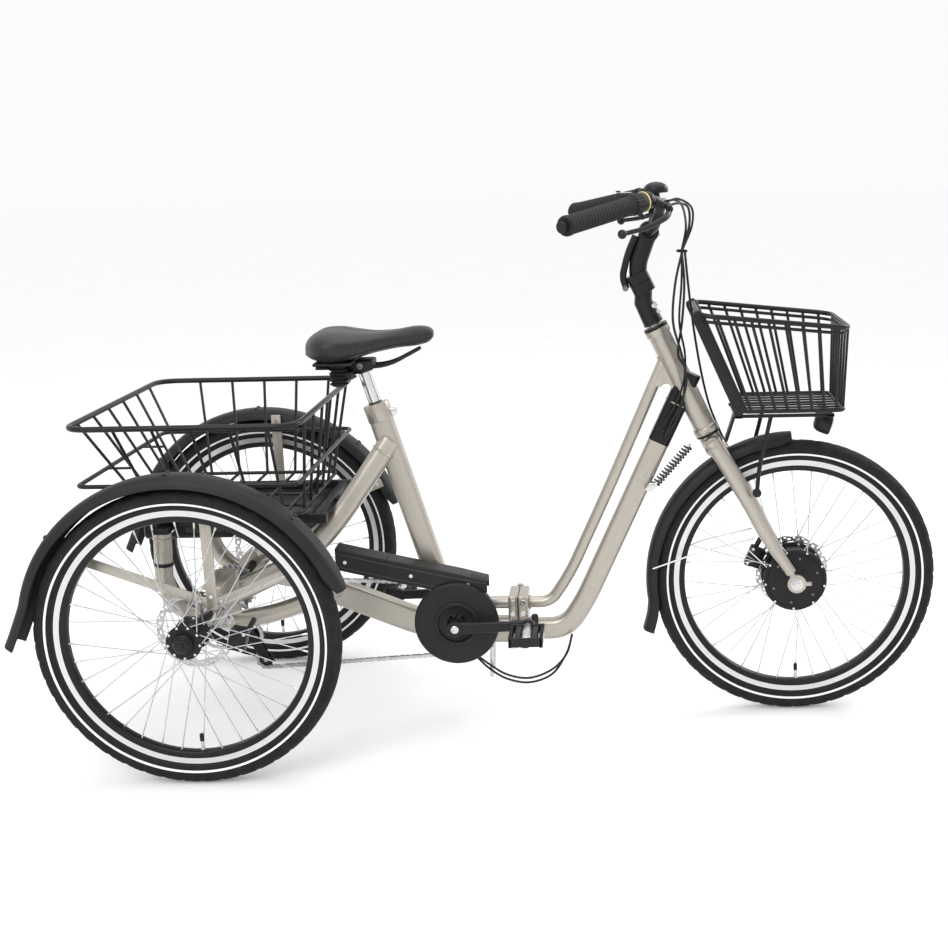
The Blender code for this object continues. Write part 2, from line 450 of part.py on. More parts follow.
make("fold_latch", "black_satin", [box(0.6010, 0.6600, -0.0620, -0.0530, 0.1990, 0.2220), cyl((0.6570, -0.0560, 0.1970), (0.6570, -0.0560, 0.2400), 0.0075, 10)])

# ---------------------------------------------------------------- fork, lamp, carrier, front basket
fk = [tube([HB - HU * 0.012, HT + HU * 0.0100], 0.0146, 20),
      cyl(V((HB.x, -0.052, HB.z)) - HU * 0.026, V((HB.x, 0.052, HB.z)) - HU * 0.026, 0.0200, 12),
      cyl(HB - HU * 0.030, HB - HU * 0.004, 0.0225, 16)]
for s in (-1, 1):
    fk += [tube(bend([(1.036, s * 0.0500, 0.612), (1.094, s * 0.0570, 0.518), (1.162, s * 0.0580, 0.388), (1.204, s * 0.0580, 0.326)], 0.05), [0.0175, 0.0178, 0.0176, 0.0170, 0.0165, 0.0150, 0.0140, 0.0130, 0.0122, 0.0118], 12),
           cyl((WB, s * 0.0500, R), (WB, s * 0.0620, R), 0.0200, 14),
           tube([(1.200, s * 0.0575, 0.332), (WB, s * 0.0560, R)], 0.0060, 8)]
make("fork", "champagne", fk, [cyl((WB, -0.08, R), (WB, 0.08, R), 0.0066, 12)])
make("front_axle", "silver", [lathe([(0.0060, -0.0740), (0.0060, -0.0700), (0.0105, -0.0695), (0.0105, -0.0625), (0.0060, -0.0625), (0.0060, 0.0625), (0.0105, 0.0625), (0.0105, 0.0695), (0.0060, 0.0700), (0.0060, 0.0740)], (WB, 0, R), (0, 1, 0), 12)])

car = [sweep(bend([(1.0690, 0, 0.6020), (1.0780, 0, 0.6300), (1.0890, 0, 0.6660)], 0.02), rbox(0.006, 0.030, 0.3, 2), up=(0, 1, 0)),
       box(1.0800, 1.2850, -0.0760, -0.0640, 0.6630, 0.6690), box(1.0800, 1.2850, 0.0640, 0.0760, 0.6630, 0.6690),
       box(1.0820, 1.0980, -0.0760, 0.0760, 0.6620, 0.6680), box(1.2680, 1.2840, -0.0760, 0.0760, 0.6620, 0.6680)]
for s in (-1, 1):
    car += [tube(bend([(1.1280, s * 0.0790, 0.5060), (1.1320, s * 0.0790, 0.56), (1.1560, s * 0.0700, 0.6650)], 0.03), 0.0045, 6)]
make("front_carrier", "black_satin", car)

fb = [tube(loop([(1.006, -0.138, 0.881), (1.303, -0.130, 0.850), (1.303, 0.130, 0.850), (1.006, 0.138, 0.881)], 0.035, 2), 0.0058, 6, closed=True),
      tube(loop([(1.092, -0.104, 0.6820), (1.300, -0.104, 0.6820), (1.300, 0.104, 0.6820), (1.092, 0.104, 0.6820)], 0.02, 2), 0.0048, 4, closed=True)]
for s in (-1, 1):
    for i in range(6):
        f = (i + 0.6) / 6.3
        fb.append(wire((1.020 + 0.270 * f, s * (0.1376 - 0.008 * f), 0.8795 - 0.0290 * f), (1.098 + 0.196 * f, s * 0.104, 0.682)))
    fb.append(sweep([(1.000, s * 0.112, 0.8810), (1.089, s * 0.098, 0.6830)], rbox(0.008, 0.026, 0.3, 2), up=(0, 1, 0)))
for i in range(5):
    y = -0.085 + 0.0425 * i
    fb.append(wire((1.303, y * 1.2, 0.850), (1.300, y, 0.682)))
    fb.append(box(1.094, 1.300, y - 0.0055, y + 0.0055, 0.6795, 0.6830))
for z in (0.880, 0.780, 0.690):
    x = 1.006 + (0.880 - z) * 0.45 - 0.004
    fb.append(box(x - 0.004, x + 0.004, -0.110, 0.110, z - 0.011, z + 0.009))
make("front_basket", "black_satin", fb)
make("headlamp", "black_plastic", [
    lathe([(0.0140, -0.0180), (0.0200, -0.0100), (0.0220, 0.0080), (0.0220, 0.0140)], (1.274, 0, 0.636), (0.96, 0, -0.28), 16),
    tube([(1.268, 0, 0.640), (1.262, 0, 0.6600)], 0.0060, 8)])
make("headlamp_lens", "clear_lens", [lathe([(0.0205, 0.0144), (0.0205, 0.0170), (0.0140, 0.0200)], (1.274, 0, 0.636), (0.96, 0, -0.28), 16)])

# ---------------------------------------------------------------- steering damper spring
a, b = V((0.9165, -0.0340, 0.5150)), V((0.9930, -0.0340, 0.6020))
n = 10
make("steering_spring", "black_satin", [lathe([p for i in range(n) for p in ((0.0070, (b - a).length * i / n), (0.0100, (b - a).length * (i + 0.5) / n))], a, b - a, 8)])

# ---------------------------------------------------------------- stem and handlebar
S0, SH = HT + HU * 0.0110, V((0.8930, 0, 0.9360))
make("stem_base", "black_satin", [
    tube([HT + HU * 0.0104, HT + HU * 0.060, SH - HU * 0.014], [0.0205, 0.0190, 0.0175], 14),
    sweep([SH - HU * 0.022, SH - HU * 0.0004], rbox(0.046, 0.042, 0.3, 3), up=(0, 1, 0)),
    cyl((0.920, -0.0230, 0.8900), (0.920, 0.0230, 0.8900), 0.0060, 8)])
BC = V((0.911, 0, 1.038))
su = [sweep([SH + HU * 0.0004, SH + HU * 0.020], rbox(0.046, 0.042, 0.3, 3), up=(0, 1, 0)),
      tube(bend([SH + HU * 0.010, (0.888, 0, 0.975), (0.9085, 0, 1.0310)], 0.03), 0.0155, 12),
      cyl(BC - V((0, 0.021, 0)), BC + V((0, 0.021, 0)), 0.0205, 16)]
make("stem_upper", "black_satin", su, [cyl(BC - V((0, 0.03, 0)), BC + V((0, 0.03, 0)), 0.0130, 16)])
make("stem_latch", "black_satin", [
    sweep(bend([(0.8640, 0, 0.9240), (0.8560, 0, 0.9480), (0.8680, 0, 0.9950), (0.8840, 0, 1.0300)], 0.02), rbox(0.007, 0.022, 0.3, 2), up=(0, 1, 0)),
    cyl((0.8620, -0.0130, 0.9250), (0.8620, 0.0130, 0.9250), 0.0060, 10)])

G0, G1 = V((0.911, -0.1385, 1.1053)), V((0.745, -0.3350, 1.0660))   # the straight end of the bar
GD = (G1 - G0).normalized()
def mir(p, s):
    return V((p[0], p[1] * -s, p[2]))
half = bend([(0.911, -0.024, 1.038), (0.922, -0.050, 1.052), (0.9350, -0.088, 1.096), G0, G1], 0.022)
rail = [V((0.911, 0.0, 1.038))] + half
bar = [V((p.x, -p.y, p.z)) for p in reversed(rail[1:])] + rail
hb = [tube(bar, 0.0111, 10)]
for s in (-1, 1):
    c0 = mir(G0 + GD * 0.002, s)
    d = mir(GD, s)
    hb += [lathe([(0.0165, 0.0), (0.0165, 0.0160)], c0, d, 12), tube([mir((0.911, -0.140, 1.104), s), mir((0.938, -0.136, 1.091), s)], 0.0095, 8)]
make("handlebar", "black_satin", hb)
for side, s in SIDES:
    c0, d = mir(G0 + GD * 0.0600, s), mir(GD, s)
    if s < 0:
        make("shift_twist", "black_plastic", [lathe([(0.0118, -0.0390), (0.0185, -0.0390), (0.0195, -0.0250), (0.0195, -0.0010), (0.0118, -0.0010)], c0, d, 16, ring=True)])
        prof = [(0.0118, 0.0), (0.0180, 0.0), (0.0175, 0.0600), (0.0185, 0.1900), (0.0118, 0.1900)]
    else:
        prof = [(0.0118, -0.0390), (0.0180, -0.0390), (0.0175, 0.0600), (0.0185, 0.1900), (0.0118, 0.1900)]
    make(f"grip_{side}", "black_plastic", [lathe(prof, c0, d, 16, ring=True)])
    piv = mir((0.9480, -0.1405, 1.0840), s)
    blade = bend([piv, mir((0.9420, -0.170, 1.0730), s), mir((0.9050, -0.213, 1.0560), s), mir((0.8560, -0.262, 1.0480), s)], 0.03)
    make(f"brake_lever_{side}", "black_satin", [tube(blade, [0.0055] * (len(blade) - 1) + [0.0045], 6), lathe([(0.0040, -0.0090), (0.0085, -0.0040), (0.0085, 0.0040), (0.0040, 0.0090)], mir((0.8560, -0.262, 1.0480), s), (0, 0, 1), 10)])
make("bell", "black_satin", [lathe([(0.0060, -0.0330), (0.0060, -0.0080), (0.0240, -0.0060), (0.0240, 0.0), (0.0170, 0.0110), (0.0060, 0.0140)], (0.9250, -0.0500, 1.1230), (0, 0, 1), 16)])
make("bell_striker", "silver", [box(0.8860, 0.9000, -0.0520, -0.0480, 1.1040, 1.1120)])
make("display", "black_plastic", [box(0.8450, 0.8800, -0.0280, 0.0280, 1.0960, 1.1160), tube([(0.8700, 0, 1.1000), (0.9020, 0, 1.0640)], 0.0050, 8)])
make("display_button", "black_satin", [cyl((0.8500, 0.0150, 1.1164), (0.8500, 0.0150, 1.1194), 0.0050, 10)])

# ---------------------------------------------------------------- cables
make("cables_front", "black_plastic", [tube(bend([(0.953, -0.060, 1.092), (0.997, -0.030, 1.092), (0.996, -0.020, 1.050), (0.972, -0.040, 0.990), (0.966, -0.050, 0.880), (0.982, -0.048, 0.760), (0.950, -0.030, 0.660), (0.9400, -0.0245, 0.6200)], 0.03), 0.0040, 5)])
make("cables_fold", "black_plastic", [tube(bend([(0.735, -0.0290, 0.185), (0.700, -0.033, 0.110), (0.640, -0.040, 0.085), (0.580, -0.0390, 0.100), (0.535, -0.0380, 0.140), (0.500, -0.0270, 0.1560)], 0.03), 0.0040, 6)])

# ---------------------------------------------------------------- the moving groups, each under an empty on its joint's axis
STEER = V((HB.x, 0, HB.z))
GROUPS = [
    ("front_half_at", None, (PINX, PINY, 0.2175), ["front_frame", "steering_spring", "cables_front"]),
    ("coupler_lever_at", "front_half_at", (0.6570, -0.0560, 0.2100), ["fold_latch"]),
    ("steered_at", "front_half_at", STEER, ["fork", "front_axle", "caliper_front", "fender_front", "front_carrier", "front_basket", "headlamp", "headlamp_lens", "stem_base"]),
    ("wheel_front_at", "steered_at", (WB, 0, R), ["wheel_front", "tyre_front", "rotor_front"]),
    ("bars_at", "steered_at", (0.9150, 0, 0.9452), ["stem_upper", "handlebar", "grip_right", "grip_left", "bell", "display"]),
    ("stem_lever_at", "steered_at", (0.8620, 0, 0.9250), ["stem_latch"]),
    ("shifter_at", "bars_at", G0, ["shift_twist"]),
    ("lever_right_at", "bars_at", (0.9480, -0.1405, 1.0840), ["brake_lever_right"]),
    ("lever_left_at", "bars_at", (0.9480, 0.1405, 1.0840), ["brake_lever_left"]),
    ("bell_lever_at", "bars_at", (0.8930, -0.0500, 1.1080), ["bell_striker"]),
    ("display_key_at", "bars_at", (0.8500, 0.0150, 1.1164), ["display_button"]),
    ("wheel_right_at", None, (0, -TR, R), ["tyre_rear_right", "wheel_rear_right", "rotor_rear_right", "rear_axle_right"]),
    ("wheel_left_at", None, (0, TR, R), ["tyre_rear_left", "wheel_rear_left", "rotor_rear_left", "rear_axle_left"]),
    ("cassette_at", None, (0, 0, R), ["cassette"]),
    ("crankset_at", None, (BB.x, 0, BB.z), ["crank_right", "crank_left", "chainring", "chain_guard_disc"]),
    ("pedal_right_at", "crankset_at", (BB.x + 0.1548, -0.19, BB.z + 0.005), ["pedal_right"]),
    ("pedal_left_at", "crankset_at", (BB.x - 0.1548, 0.19, BB.z - 0.005), ["pedal_left"]),
    ("seat_at", None, ST, ["seat_post", "saddle_frame", "saddle"]),
    ("battery_at", None, (-0.160, 0, 0.4490), ["battery", "tail_light"]),
]
PLACE = {}
for group, above, at, names in GROUPS:
    spot = V((at[0] + DX, at[1], at[2]))
    empty = bpy.data.objects.new(group, None)
    empty.empty_display_size = 0.03
    COL.objects.link(empty)
    empty.location = spot - PLACE.get(above, V((0, 0, 0)))
    if above:
        empty.parent = bpy.data.objects[above]
    PLACE[group] = spot
    for name in names:
        piece = bpy.data.objects[name]
        piece.data.transform(Matrix.Translation(-spot))
        piece.parent = empty
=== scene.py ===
"""Adult tricycle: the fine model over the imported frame.

Metres, +X forward, +Z up. Helpers take x from the rear axle; DX centres the box.
"""
import bpy, bmesh, math
from mathutils import Vector, Matrix


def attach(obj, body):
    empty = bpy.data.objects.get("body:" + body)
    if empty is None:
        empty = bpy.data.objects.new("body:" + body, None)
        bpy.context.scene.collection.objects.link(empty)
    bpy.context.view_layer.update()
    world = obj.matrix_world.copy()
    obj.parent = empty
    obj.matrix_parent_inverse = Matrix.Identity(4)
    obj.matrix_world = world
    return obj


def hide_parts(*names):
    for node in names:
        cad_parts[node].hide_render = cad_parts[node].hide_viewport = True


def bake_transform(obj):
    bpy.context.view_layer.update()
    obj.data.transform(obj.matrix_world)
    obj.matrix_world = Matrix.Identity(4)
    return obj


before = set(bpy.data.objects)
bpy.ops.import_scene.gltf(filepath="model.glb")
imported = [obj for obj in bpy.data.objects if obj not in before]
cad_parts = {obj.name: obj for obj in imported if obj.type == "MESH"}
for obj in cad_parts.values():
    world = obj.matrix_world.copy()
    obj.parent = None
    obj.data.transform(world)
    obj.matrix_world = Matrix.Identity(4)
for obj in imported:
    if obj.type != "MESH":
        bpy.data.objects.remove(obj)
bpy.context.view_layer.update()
DX = -0.5805
V, TAU = Vector, 2 * math.pi
scene = bpy.context.scene

# ================================================================ camera
EYE = (0.8446 + DX, -2.904, 1.1966)
YAW, PITCH, ROLL = 0.0272, 0.2599, -0.0230
SENSOR_MM, LENS_MM = 36, 53.10
SHIFT_X, SHIFT_Y = -0.115992, 0.052838
d = V((-math.sin(YAW) * math.cos(PITCH), math.cos(YAW) * math.cos(PITCH), -math.sin(PITCH)))
r = V((math.cos(YAW), math.sin(YAW), 0))
u = r.cross(d)
r2, u2 = r * math.cos(ROLL) + u * math.sin(ROLL), -r * math.sin(ROLL) + u * math.cos(ROLL)
cam = bpy.data.objects.new("camera", bpy.data.cameras.new("camera"))
scene.collection.objects.link(cam)
cam.matrix_world = Matrix(((r2.x, u2.x, -d.x, EYE[0]), (r2.y, u2.y, -d.y, EYE[1]), (r2.z, u2.z, -d.z, EYE[2]), (0, 0, 0, 1)))
cam.data.sensor_width, cam.data.lens = SENSOR_MM, LENS_MM
cam.data.shift_x, cam.data.shift_y = SHIFT_X, SHIFT_Y
cam.data.clip_end = 60
scene.camera = cam

# ================================================================ materials
def mat(name, rgb, metal=0.0, rough=0.5, var=0.10, scale=45.0, rvar=0.06, bump=0.10, bscale=900.0, dist=0.0002, coat=0.0, sheen=0.0,
    cells=False, stretch=(1, 1, 1), trans=0.0, emit=0.0, dust=0.0, spec=0.5):
    m = bpy.data.materials.new(name)
    m.use_nodes = True
    nt, n = m.node_tree, m.node_tree.nodes
    b = n["Principled BSDF"]
    co, mp = n.new("ShaderNodeTexCoord"), n.new("ShaderNodeMapping")
    mp.inputs["Scale"].default_value = stretch
    nt.links.new(co.outputs["Object"], mp.inputs["Vector"])
    a = n.new("ShaderNodeTexNoise")
    a.inputs["Scale"].default_value, a.inputs["Detail"].default_value = scale, 4
    nt.links.new(mp.outputs["Vector"], a.inputs["Vector"])
    ramp = n.new("ShaderNodeValToRGB")
    lo, hi = ramp.color_ramp.elements
    lo.position, hi.position = 0.3, 0.7
    lo.color = (*[max(0.0, c * (1 - var)) for c in rgb], 1)
    hi.color = (*[min(1.0, c * (1 + var) + dust * 0.02) for c in rgb], 1)
    nt.links.new(a.outputs["Fac"], ramp.inputs["Fac"])
    nt.links.new(ramp.outputs["Color"], b.inputs["Base Color"])
    mr = n.new("ShaderNodeMapRange")
    mr.inputs["To Min"].default_value, mr.inputs["To Max"].default_value = max(0.03, rough - rvar), min(1.0, rough + rvar)
    nt.links.new(a.outputs["Fac"], mr.inputs["Value"])
    nt.links.new(mr.outputs["Result"], b.inputs["Roughness"])
    if cells:
        t = n.new("ShaderNodeTexVoronoi")
        out = t.outputs["Distance"]
    else:
        t = n.new("ShaderNodeTexNoise")
        t.inputs["Detail"].default_value = 3
        out = t.outputs["Fac"]
    t.inputs["Scale"].default_value = bscale
    nt.links.new(mp.outputs["Vector"], t.inputs["Vector"])
    bp = n.new("ShaderNodeBump")
    bp.inputs["Strength"].default_value, bp.inputs["Distance"].default_value = bump, dist
    nt.links.new(out, bp.inputs["Height"])
    nt.links.new(bp.outputs["Normal"], b.inputs["Normal"])
    b.inputs["Metallic"].default_value = metal
    b.inputs["Specular IOR Level"].default_value = spec
    b.inputs["Coat Weight"].default_value = coat
    b.inputs["Coat Roughness"].default_value = 0.22
    b.inputs["Sheen Weight"].default_value = sheen
    b.inputs["Transmission Weight"].default_value = trans
    if emit:
        b.inputs["Emission Color"].default_value = (*rgb, 1)
        b.inputs["Emission Strength"].default_value = emit
    return m

CHAMP = mat("champagne_paint", (0.425, 0.395, 0.345), 0.72, 0.36, var=0.06, scale=240, rvar=0.05, bump=0.14, bscale=2600,
    dist=0.00006, coat=0.25)
BLACK = mat("black_satin_paint", (0.0085, 0.0085, 0.0092), 0.0, 0.36, var=0.25, scale=30, bump=0.10, bscale=1400, dist=0.00008,
    spec=0.28)
PLAST = mat("moulded_black_plastic", (0.0115, 0.0115, 0.0122), 0.0, 0.50, var=0.25, scale=22, bump=0.30, bscale=2200, dist=0.00010,
    spec=0.28)
DARK = mat("dark_grey_plastic", (0.040, 0.040, 0.043), 0.0, 0.48, var=0.15, scale=25, bump=0.25, bscale=2000, dist=0.0001,
    spec=0.35)
SILV = mat("machined_alloy", (0.62, 0.62, 0.62), 1.0, 0.27, var=0.06, scale=60, bump=0.08, bscale=420, dist=0.00003)
RIMS = mat("machined_rim_band", (0.72, 0.72, 0.72), 1.0, 0.34, var=0.03, scale=14, rvar=0.03, bump=0.03, bscale=300, dist=0.00002)
DISC = mat("ground_rotor_steel", (0.46, 0.46, 0.46), 1.0, 0.30, var=0.15, scale=90, bump=0.10, bscale=700, dist=0.00003)
POLI = mat("polished_post", (0.74, 0.74, 0.74), 1.0, 0.17, var=0.05, scale=40, bump=0.08, bscale=600, dist=0.00003,
    stretch=(3, 3, 0.4))
STEEL = mat("spoke_steel", (0.55, 0.55, 0.56), 1.0, 0.30, var=0.15, scale=80, bump=0.05)
DSTEEL = mat("dark_steel", (0.17, 0.165, 0.16), 1.0, 0.36, var=0.3, scale=150, bump=0.2, bscale=900, dist=0.0001)
RIMB = mat("rim_black_anodised", (0.0085, 0.0085, 0.009), 0.2, 0.34, var=0.2, scale=40, bump=0.08, spec=0.3)
RUBB = mat("tyre_rubber", (0.0105, 0.0105, 0.0105), 0.0, 0.76, var=0.3, scale=55, bump=0.45, bscale=1500, dist=0.0002, dust=0.15,
    spec=0.25)
REFL = mat("reflective_strip", (0.84, 0.85, 0.86), 0.0, 0.42, var=0.04, scale=500, bump=0.25, bscale=2600, dist=0.00006, cells=True)
SKIN = mat("saddle_leather", (0.0125, 0.0125, 0.013), 0.0, 0.44, var=0.25, scale=90, bump=0.50, bscale=620, dist=0.00030,
    cells=True, sheen=0.05, spec=0.38)
GRIP = mat("grip_rubber", (0.0105, 0.0105, 0.011), 0.0, 0.62, var=0.2, scale=70, bump=0.4, bscale=1700, dist=0.00015, spec=0.28)
CABL = mat("cable_jacket", (0.0095, 0.0095, 0.0100), 0.0, 0.40, var=0.2, scale=90, bump=0.12, bscale=1400, dist=0.00006, spec=0.32)
DECAL = mat("decal_black", (0.0035, 0.0035, 0.004), 0.0, 0.30, var=0.15, scale=60, bump=0.05, spec=0.3)
RED = mat("red_lens", (0.45, 0.012, 0.012), 0.0, 0.18, var=0.15, scale=300, bump=0.5, bscale=420, dist=0.0004, cells=True, coat=0.5)
AMBER = mat("amber_ring", (0.62, 0.52, 0.20), 0.0, 0.40, var=0.08, scale=200, bump=0.1)
LENS = mat("clear_lens", (0.88, 0.90, 0.93), 0.0, 0.10, var=0.03, scale=120, bump=0.4, bscale=300, dist=0.0004, coat=0.6)
GLASS = mat("display_glass", (0.020, 0.026, 0.030), 0.0, 0.10, var=0.2, scale=40, bump=0.02, coat=0.8)

# ================================================================ shape helpers
def fixed(vs, fs):
    vol = 0.0
    for q in fs:
        for i in range(1, len(q) - 1):
            vol += vs[q[0]].dot(vs[q[i]].cross(vs[q[i + 1]]))
    return (vs, [tuple(reversed(q)) for q in fs] if vol < 0 else list(fs))

def take(bm):
    bm.normal_update()
    bm.verts.ensure_lookup_table()
    out = fixed([v.co.copy() for v in bm.verts], [tuple(v.index for v in q.verts) for q in bm.faces])
    bm.free()
    return out

def basis(t, up=None):
    t = t.normalized()
    up = V(up) if up else (V((0, 1, 0)) if abs(t.y) < 0.9 else V((0, 0, 1)))
    a = up.cross(t).normalized()
    return a, t.cross(a).normalized()

def sweep(path, sec, closed=False, up=None, scale=None):
    P = [V(p) for p in path]
    n, vs, fs, k, prev = len(P), [], [], len(sec), None
    for i in range(n):
        a = P[(i - 1) % n] if closed or i else P[0]
        b = P[(i + 1) % n] if closed or i < n - 1 else P[-1]
        t = (b - a).normalized()
        if up is not None:
            e, w = basis(t, up)
        elif prev is None:
            e, w = basis(t)
        else:
            e = (prev - t * prev.dot(t)).normalized()
            w = t.cross(e)
        prev = e
        s = scale[i] if scale else 1.0
        vs += [P[i] + (e * x + w * y) * s for x, y in sec]
    for i in range(n if closed else n - 1):
        for j in range(k):
            fs.append((i * k + j, i * k + (j + 1) % k, ((i + 1) % n) * k + (j + 1) % k, ((i + 1) % n) * k + j))
    if not closed:
        fs += [tuple(range(k - 1, -1, -1)), tuple(range((n - 1) * k, n * k))]
    return fixed(vs, fs)

def disc(r, n, turn=0.0):
    return [(r * math.cos(TAU * (i + turn) / n), r * math.sin(TAU * (i + turn) / n)) for i in range(n)]

def rbox(w, h, r=0.25, per=6):
    rr, out = min(w, h) * r, []
    for qx, qy, a0 in ((w/2-rr, h/2-rr, 0), (-w/2+rr, h/2-rr, 90), (-w/2+rr, -h/2+rr, 180), (w/2-rr, -h/2+rr, 270)):
        for i in range(per):
            a = math.radians(a0 + 90 * i / (per - 1))
            out.append((qx + rr * math.cos(a), qy + rr * math.sin(a)))
    return out

def tube(path, r, n=24, closed=False, up=None):
    if isinstance(r, (list, tuple)):
        return sweep(path, disc(1.0, n), closed, up, scale=list(r))
    return sweep(path, disc(r, n), closed, up)

def bend(pts, rad, k=10, ends=0):
    """Rounds the corners of a line of points."""
    P, out = [V(p) for p in pts], [V(pts[0])]
    for i in range(1, len(P) - 1):
        a, b, c = P[i - 1], P[i], P[i + 1]
        d1, d2 = (a - b), (c - b)
        q = min(rad, d1.length * 0.48, d2.length * 0.48)
        s, e = b + d1.normalized() * q, b + d2.normalized() * q
        for j in range(k + 1):
            t = j / k
            out.append(s * (1 - t) ** 2 + b * 2 * t * (1 - t) + e * t * t)
    return out + [P[-1]]

def loop(corners, rad, k=10):
    P, out, n = [V(p) for p in corners], [], len(corners)
    for i in range(n):
        a, b, c = P[i - 1], P[i], P[(i + 1) % n]
        q1, q2 = min(rad, (a - b).length * 0.45), min(rad, (c - b).length * 0.45)
        s, e = b + (a - b).normalized() * q1, b + (c - b).normalized() * q2
        for j in range(k + 1):
            t = j / k
            out.append(s * (1 - t) ** 2 + b * 2 * t * (1 - t) + e * t * t)
    return out

def flow(pts, per=8):
    """A smooth line through every point."""
    P = [V(p) for p in pts]
    P = [P[0] * 2 - P[1]] + P + [P[-1] * 2 - P[-2]]
    out = []
    for i in range(1, len(P) - 2):
        for j in range(per):
            t = j / per
            a, b, c, e = P[i - 1], P[i], P[i + 1], P[i + 2]
            out.append(0.5 * (2 * b + (c - a) * t + (2 * a - 5 * b + 4 * c - e) * t * t + (3 * b - a - 3 * c + e) * t ** 3))
    return out + [P[-2]]

def lathe(prof, c, axis, n=64, ring=False):
    ax, c = V(axis).normalized(), V(c)
    a, w = basis(ax)
    vs, fs, k = [], [], len(prof)
    for i in range(n):
        t = TAU * i / n
        e = a * math.cos(t) + w * math.sin(t)
        vs += [c + e * q + ax * h for q, h in prof]
    for i in range(n):
        i2 = (i + 1) % n
        for j in range(k if ring else k - 1):
            fs.append((i * k + j, i * k + (j + 1) % k, i2 * k + (j + 1) % k, i2 * k + j))
    if not ring:
        fs += [tuple(i * k for i in range(n)), tuple(i * k + k - 1 for i in reversed(range(n)))]
    return fixed(vs, fs)

def cyl(a, b, r, n=32, r2=None, ch=0.0006):
    a, b = V(a), V(b)
    L, q = (b - a).length, r if r2 is None else r2
    ch = min(ch, r * 0.4, L * 0.3)
    return lathe([(r - ch, 0), (r, ch), (q, L - ch), (q - ch, L)], a, b - a, n)

def hexa(a, b, r):
    return cyl(a, b, r, 6, ch=0.0004)

def bolt(c, axis, r, h, socket=True):
    """A round cap bolt with a hexagon recess."""
    c, ax = V(c), V(axis).normalized()
    return lathe([(r, 0), (r, h * 0.75), (r * 0.86, h)] + ([(r * 0.5, h), (r * 0.45, h * 0.45)] if socket else []), c, ax, 20)

def bev(bm, r, seg):
    if r:
        bmesh.ops.bevel(bm, geom=bm.edges[:], offset=r, segments=seg, affect="EDGES", profile=0.5, clamp_overlap=True)
    return take(bm)

def box(x0, x1, y0, y1, z0, z1, r=0.0010, seg=2):
    y0, y1 = min(y0, y1), max(y0, y1)
    bm = bmesh.new()
    bmesh.ops.create_cube(bm, size=1)
    for v in bm.verts:
        v.co = V((x0 if v.co.x < 0 else x1, y0 if v.co.y < 0 else y1, z0 if v.co.z < 0 else z1))
    return bev(bm, min(r, 0.4 * min(x1 - x0, y1 - y0, z1 - z0)), seg)

def prism(poly, y0, y1, r=0.0008, seg=2):
    bm = bmesh.new()
    a = [bm.verts.new((x, y0, z)) for x, z in poly]
    b = [bm.verts.new((x, y1, z)) for x, z in poly]
    k = len(poly)
    bm.faces.new(a)
    bm.faces.new(b[::-1])
    for i in range(k):
        bm.faces.new((a[i], b[i], b[(i + 1) % k], a[(i + 1) % k]))
    bmesh.ops.recalc_face_normals(bm, faces=bm.faces[:])
    return bev(bm, min(r, 0.4 * abs(y1 - y0)), seg)

def plate(inner, outer, c, y0, y1):
    """A flat ring between two outlines of (x, z) with as many points, standing about c."""
    k, c = len(outer), V(c)
    vs = [V((c.x + x, c.y + y, c.z + z)) for y in (y0, y1) for lp in (inner, outer) for x, z in lp]
    fs = []
    for i in range(k):
        j = (i + 1) % k
        fs += [(i, j, k + j, k + i), (2 * k + j, 2 * k + i, 3 * k + i, 3 * k + j), (k + i, k + j, 3 * k + j, 3 * k + i),
            (j, i, 2 * k + i, 2 * k + j)]
    return fixed(vs, fs)

def gear(c, y0, y1, rin, rout, T, depth=0.0042):
    out, inn = [], []
    for i in range(T):
        for t, q in ((0.0, rout - depth), (0.22, rout - depth), (0.42, rout), (0.58, rout), (0.78, rout - depth)):
            a = TAU * (i + t) / T
            out.append((q * math.cos(a), q * math.sin(a)))
            inn.append((rin * math.cos(a), rin * math.sin(a)))
    return plate(inn, out, c, y0, y1)

def wire(a, b, r=0.0028, n=8):
    return tube([a, b], r, n)

def weld(c, axis, rx, ry=None, q=0.0022, up=None):
    """A rippled bead round a joint."""
    a, w = basis(V(axis), up)
    pts = [V(c) + a * rx * math.cos(TAU * i / 72) + w * (ry or rx) * math.sin(TAU * i / 72) for i in range(72)]
    return tube(pts, [q * (1.0 + 0.16 * (i % 3 - 1)) for i in range(72)], 6, closed=True)

def piece(name, body, groups, replaces=(), smooth=40, blend=None):
    me = bpy.data.meshes.new(name)
    vs, fs, mi = [], [], []
    for k, (m, shells) in enumerate(groups):
        me.materials.append(m)
        for sv, sf in shells:
            o = len(vs)
            vs += [(v.x + DX, v.y, v.z) for v in sv]
            fs += [tuple(i + o for i in q) for q in sf]
            mi += [k] * len(sf)
    me.from_pydata(vs, [], fs)
    me.polygons.foreach_set("material_index", mi)
    me.shade_smooth()
    me.set_sharp_from_angle(angle=math.radians(smooth))
    ob = bpy.data.objects.new(name, me)
    scene.collection.objects.link(ob)
    if blend:
        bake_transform(ob)
    else:
        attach(ob, body)
    if replaces:
        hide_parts(*([replaces] if isinstance(replaces, str) else replaces))
    return ob

# ================================================================ main dimensions
R, WB, TR = 0.3005, 1.2165, 0.349
HT, HB = V((0.924, 0, 0.842)), V((1.030, 0, 0.621))
HU = (HT - HB).normalized()
SU, ST, BB = V((-0.2802, 0, 0.9599)), V((0.3365, 0, 0.680)), V((0.493, 0, 0.235))
SIDES = (("right", -1), ("left", 1))
PINX, PINY = 0.6205, 0.0520
SH, BC = V((0.8930, 0, 0.9360)), V((0.911, 0, 1.038))
G0, G1 = V((0.911, -0.1385, 1.1053)), V((0.745, -0.3350, 1.0660))
GD = (G1 - G0).normalized()
CR = 0.0800
def mir(p, s):
    return V((p[0], p[1] * -s, p[2]))

